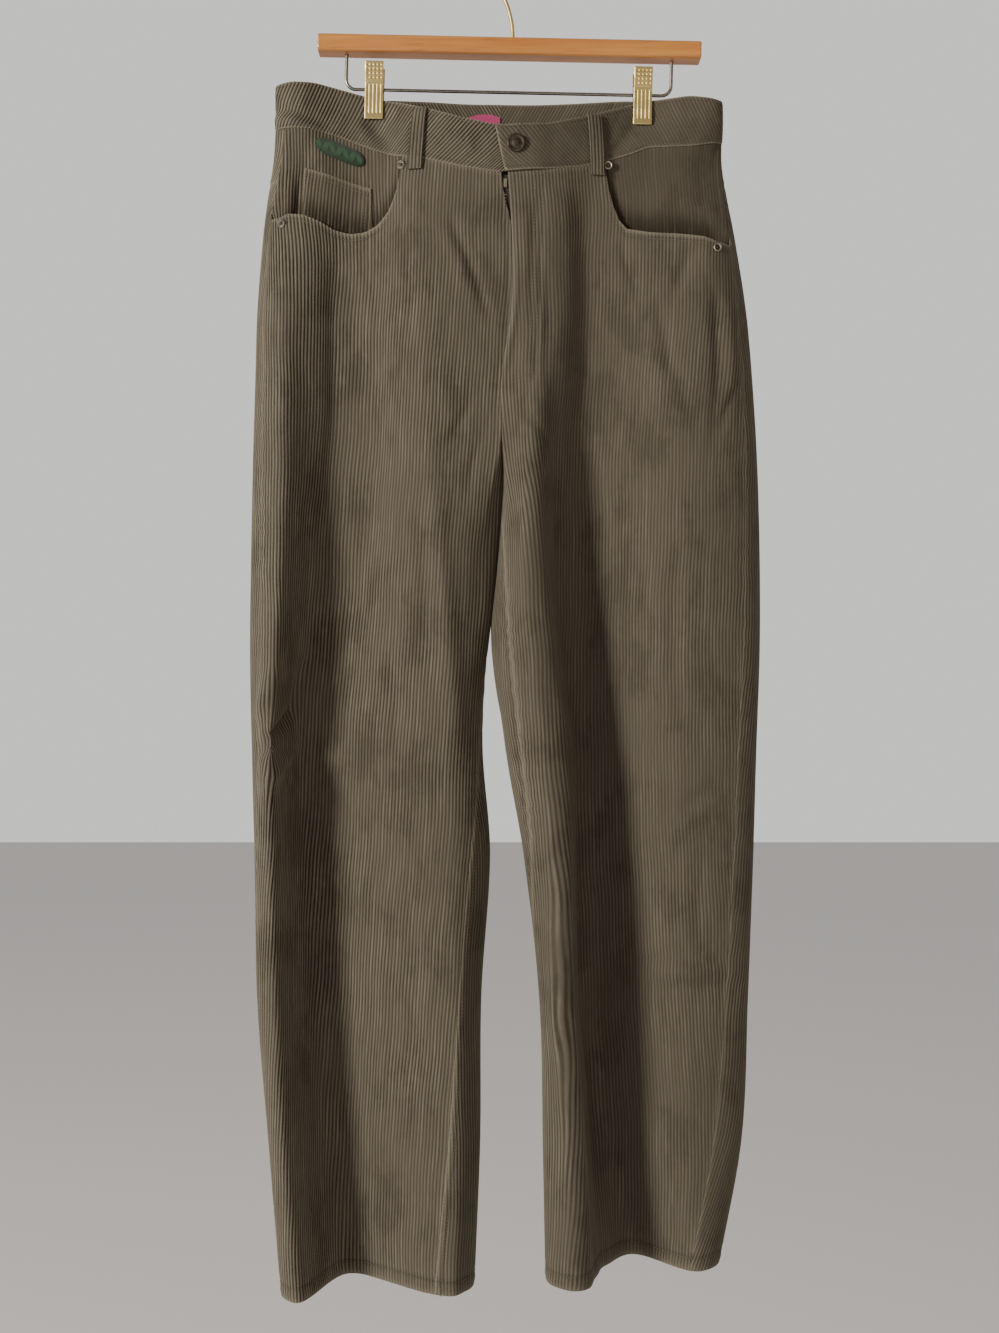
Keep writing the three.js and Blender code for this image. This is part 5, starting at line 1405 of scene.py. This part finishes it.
BAR_TOP, BAR_HEIGHT, HOOK_DEPTH, ROD_DEPTH = -85.5, 16, 12, 8
HOOK_WIRE, ROD_WIRE, HOOK_RADIUS = 3.6, 3.2, 20
ROD_HALF, ROD_Z, ROD_BEND = 151, -133.7, 9
hook_centre = HOOK_WIRE / 2 - HOOK_RADIUS
hook_points = [(3, BAR_TOP - HOOK_DEPTH + SEAM_GAP), (3, BAR_TOP + 2), (1.5, -68), (-4, -50), (-13, -36)]
hook_points += [(HOOK_RADIUS * math.cos(a), hook_centre + HOOK_RADIUS * math.sin(a))
                for a in np.radians(np.linspace(200, -28, 12))]
hook = wire("brass_hook", hang(wire_line(hook_points, 0.5, 6)), HOOK_WIRE / 2, brass)
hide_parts("hanger_hook")
rod_top = BAR_TOP - BAR_HEIGHT + ROD_DEPTH - SEAM_GAP
bend = [(ROD_HALF - ROD_BEND * (1 - math.cos(a)), ROD_Z + ROD_BEND * (1 - math.sin(a)))
        for a in np.radians(np.linspace(0, 90, 5))]
rod_points = [(ROD_HALF, rod_top), (ROD_HALF, ROD_Z + ROD_BEND + 8), *bend, (ROD_HALF - ROD_BEND - 10, ROD_Z),
              (60, ROD_Z)]
rod_points = [(-a, b) for a, b in rod_points] + [(0, ROD_Z)] + rod_points[::-1]
rod = wire("steel_rod", hang(wire_line(rod_points, 0.3, 5)), ROD_WIRE / 2, wire_steel)
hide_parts("clip_rod")

CLIP = {"x": 124.5, "width": 17, "top": -110.5, "bottom": -162.5, "plate": 1.2, "flare": 10.5, "waist": 5.5,
        "jaw": 6}
plate_line = [(CLIP["flare"], CLIP["top"]), (CLIP["flare"] - 1.4, CLIP["top"] - 10), (CLIP["waist"], ROD_Z + 3),
              (CLIP["waist"], ROD_Z - 5), (CLIP["jaw"], CLIP["bottom"] + 14), (CLIP["jaw"], CLIP["bottom"])]
for half_name, clip_x in (("right", -CLIP["x"]), ("left", CLIP["x"])):
    for face_name, way in (("front", -1), ("back", 1)):
        rows, columns = 150, 61
        z = np.linspace(CLIP["top"], CLIP["bottom"], rows)[:, None]
        x = np.linspace(-CLIP["width"] / 2, CLIP["width"] / 2, columns)[None, :]
        heights, depths = np.array([b for _, b in plate_line]), np.array([a for a, _ in plate_line])
        y = np.interp(-z, -heights, depths) + 0 * x
        down = CLIP["top"] - z
        dimple_x = np.abs(x / 3.6 - np.clip(np.round(x / 3.6 - 0.5), -2, 1) - 0.5) * 3.6
        dimple_z = np.abs((down - 3.4) / 3.6 - np.clip(np.round((down - 3.4) / 3.6), 0, 3)) * 3.6
        dimples = np.clip(1 - (dimple_x ** 2 + dimple_z ** 2) / 1.2 ** 2, 0, 1) ** 0.5
        groove_band = smooth((down - 19.5) / 1.5) * smooth((CLIP["top"] - CLIP["bottom"] - 4 - down) / 1.5)
        grooves = np.clip(1 - (dimple_x / 0.75) ** 2, 0, 1) * groove_band
        bar_across = np.clip(1 - ((down - 18) / 0.8) ** 2, 0, 1)
        relief = -0.55 * dimples - 0.45 * grooves - 0.3 * bar_across
        rounded = -0.35 * (1 - smooth((CLIP["width"] / 2 - np.abs(x)) / 0.7)) - 0.35 * (
            1 - smooth(np.minimum(down, CLIP["top"] - CLIP["bottom"] - down) / 0.7))
        plate = lambda out: hang(np.stack(np.broadcast_arrays(
            clip_x + x, way * (y + out), z), axis=-1).reshape(-1, 3)).reshape(rows, columns, 3)
        piece = closed_wall("plate_" + face_name + "_" + half_name, plate(CLIP["plate"] + relief + rounded),
                            plate(0 * relief), x + 0 * z, np.zeros(rows, int), np.full(rows, columns - 1),
                            np.stack([x + 0 * z, z + 0 * x], axis=-1), (0, 0))
        piece.data.materials.append(brass)
        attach(piece, "root")
        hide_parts("clip_" + face_name + "_" + half_name)
    turns, coil = 8, 13
    a = np.linspace(0, turns * 2 * math.pi, turns * 20)
    coil_radius = (CLIP["waist"] - SEAM_GAP + ROD_WIRE / 2 + SEAM_GAP) / 2 + 0.9
    line = np.stack([clip_x + (a / a[-1] - 0.5) * (coil - 1.5), coil_radius * np.cos(a),
                     ROD_Z + coil_radius * np.sin(a)], axis=1)
    spring = wire("coil_" + half_name, hang(line), 0.7, wire_steel, 8)
    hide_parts("clip_spring_" + half_name)


def wood_material():
    """Honey-coloured lacquered wood, with long grain and small pores along the bar."""
    material, tree = plain_material("lacquered_wood")
    spot = add_node(tree, "ShaderNodeTexCoord").outputs["Object"]
    long = add_node(tree, "ShaderNodeVectorMath", {0: spot}, {"operation": "MULTIPLY"})
    long.inputs[1].default_value = (5.0, 120.0, 120.0)
    grain = add_node(tree, "ShaderNodeTexNoise", {"Vector": long.outputs[0]}, Scale=1.0, Detail=5.0,
                     Roughness=0.65, Distortion=0.6)
    pores = add_node(tree, "ShaderNodeTexNoise", {"Vector": long.outputs[0]}, Scale=5.5, Detail=2.0)
    share = add_node(tree, "ShaderNodeMapRange", {"Value": grain.outputs["Fac"]}, From_Min=0.32, From_Max=0.7)
    tone = add_node(tree, "ShaderNodeMix", {"Factor": share.outputs[0]}, {"data_type": "RGBA"})
    tone.inputs["A"].default_value = linear("#a9672b")
    tone.inputs["B"].default_value = linear("#c98a45")
    pore_share = add_node(tree, "ShaderNodeMapRange", {"Value": pores.outputs["Fac"]}, From_Min=0.62,
                          From_Max=0.72, To_Max=0.45)
    spotted = add_node(tree, "ShaderNodeMix", {"Factor": pore_share.outputs[0], "A": tone.outputs["Result"]},
                       {"data_type": "RGBA"})
    spotted.inputs["B"].default_value = linear("#7a451c")
    bump = add_node(tree, "ShaderNodeBump", {"Height": pores.outputs["Fac"]}, Strength=0.15, Distance=0.0003)
    wood = add_node(tree, "ShaderNodeBsdfPrincipled", {"Base Color": spotted.outputs["Result"],
                    "Normal": bump.outputs[0]}, Roughness=0.42, Coat_Weight=0.35, Coat_Roughness=0.25)
    add_node(tree, "ShaderNodeOutputMaterial", {"Surface": wood.outputs[0]})
    return material


bar = bpy.data.objects["hanger_bar"]
bar.data.materials.clear()
bar.data.materials.append(wood_material())


# Stitches in a thread of the cloth's own colour. Geometry Nodes set a small rounded stitch at even steps along
# every sewn line.
STITCH_PITCH, STITCH_SIZE = 3.2, (1.25, 0.34, 0.34)


def stitch_tree(thread):
    tree = bpy.data.node_groups.new("stitches", "GeometryNodeTree")
    face = tree.interface
    face.new_socket("Geometry", in_out="INPUT", socket_type="NodeSocketGeometry")
    pitch = face.new_socket("Pitch", in_out="INPUT", socket_type="NodeSocketFloat")
    face.new_socket("Geometry", in_out="OUTPUT", socket_type="NodeSocketGeometry")
    given = add_node(tree, "NodeGroupInput")
    line = add_node(tree, "GeometryNodeMeshToCurve", {"Mesh": given.outputs["Geometry"]})
    even = add_node(tree, "GeometryNodeResampleCurve", {"Curve": line.outputs[0], "Length": given.outputs["Pitch"]},
                    {"mode": "LENGTH"})
    ball = add_node(tree, "GeometryNodeMeshUVSphere", Segments=6, Rings=4, Radius=MM)
    drawn = add_node(tree, "GeometryNodeTransform", {"Geometry": ball.outputs["Mesh"]}, Scale=STITCH_SIZE)
    along = add_node(tree, "GeometryNodeInputTangent")
    turn = add_node(tree, "FunctionNodeAlignRotationToVector", {"Vector": along.outputs[0]}, {"axis": "X"})
    spread = add_node(tree, "GeometryNodeInstanceOnPoints", {"Points": even.outputs[0],
                      "Instance": drawn.outputs[0], "Rotation": turn.outputs[0]})
    real = add_node(tree, "GeometryNodeRealizeInstances", {"Geometry": spread.outputs[0]})
    coloured = add_node(tree, "GeometryNodeSetMaterial", {"Geometry": real.outputs[0]}, Material=thread)
    add_node(tree, "NodeGroupOutput", {"Geometry": coloured.outputs[0]})
    return tree, pitch.identifier


def stitches(name, lines, tree, pitch_socket, thread):
    """Stitches along lines of points in millimetres."""
    points, edges = [], []
    for line in lines:
        start = len(points)
        points += [tuple(p * MM) for p in line]
        edges += [(start + i, start + i + 1) for i in range(len(line) - 1)]
    mesh = bpy.data.meshes.new(name)
    mesh.from_pydata(points, edges, [])
    made = bpy.data.objects.new(name, mesh)
    scene.collection.objects.link(made)
    modifier = made.modifiers.new("stitches", "NODES")
    modifier.node_group = tree
    modifier[pitch_socket] = STITCH_PITCH * MM
    seen = made.evaluated_get(bpy.context.evaluated_depsgraph_get())
    made.data = bpy.data.meshes.new_from_object(seen)
    made.modifiers.clear()
    made.data.materials.clear()
    made.data.materials.append(thread)
    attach(made, "root")


def on_cloth(half_name, part, points, off=0.1):
    """A line given as X and Z, drawn out finely on the cloth."""
    p = np.array(points, float)
    far = np.concatenate([[0], np.cumsum(np.linalg.norm(np.diff(p, axis=0), axis=1))])
    at = np.linspace(0, far[-1], max(int(far[-1] / 2), 2))
    return side_of(half_name, part)(np.interp(at, far, p[:, 0]), np.interp(at, far, p[:, 1]), off)


seam_lines["fly"] = [on_cloth("left", "front", J_STITCH[:-1]),
                     on_cloth("left", "front", [(x - 5.5, z + (5.5 if k > 4 else 0)) for k, (x, z) in
                                                enumerate(J_STITCH[:-1])])]
for name, x in (("right", -118), ("left", 98)):
    top, side, half_width = BACK_POCKET["top"], BACK_POCKET["side"], BACK_POCKET["width"] / 2
    for inset in (2.2, 8.0):
        w = half_width - inset
        low = top - side + inset
        seam_lines.setdefault("back_pockets", []).append(on_cloth(name, "back", [
            (x - w, top - 1), (x - w, low), (x, low - BACK_POCKET["point"]), (x + w, low), (x + w, top - 1)],
            BACK_POCKET["off"] + CLOTH_WALL + 0.1))
    seam_lines["back_pockets"].append(on_cloth(name, "back", [(x - half_width + 2, top - 12), (x + half_width - 2, top - 12)],
                                               BACK_POCKET["off"] + CLOTH_WALL + 0.1))
thread = threads_material("tonal_thread", "#857e6c", "#4e4639", 900.0, 700.0, 0.5, 0.6)
tree, pitch_socket = stitch_tree(thread)
for name, lines in seam_lines.items():
    stitches(name.replace("cloth_", "") + "_stitches", lines, tree, pitch_socket, thread)
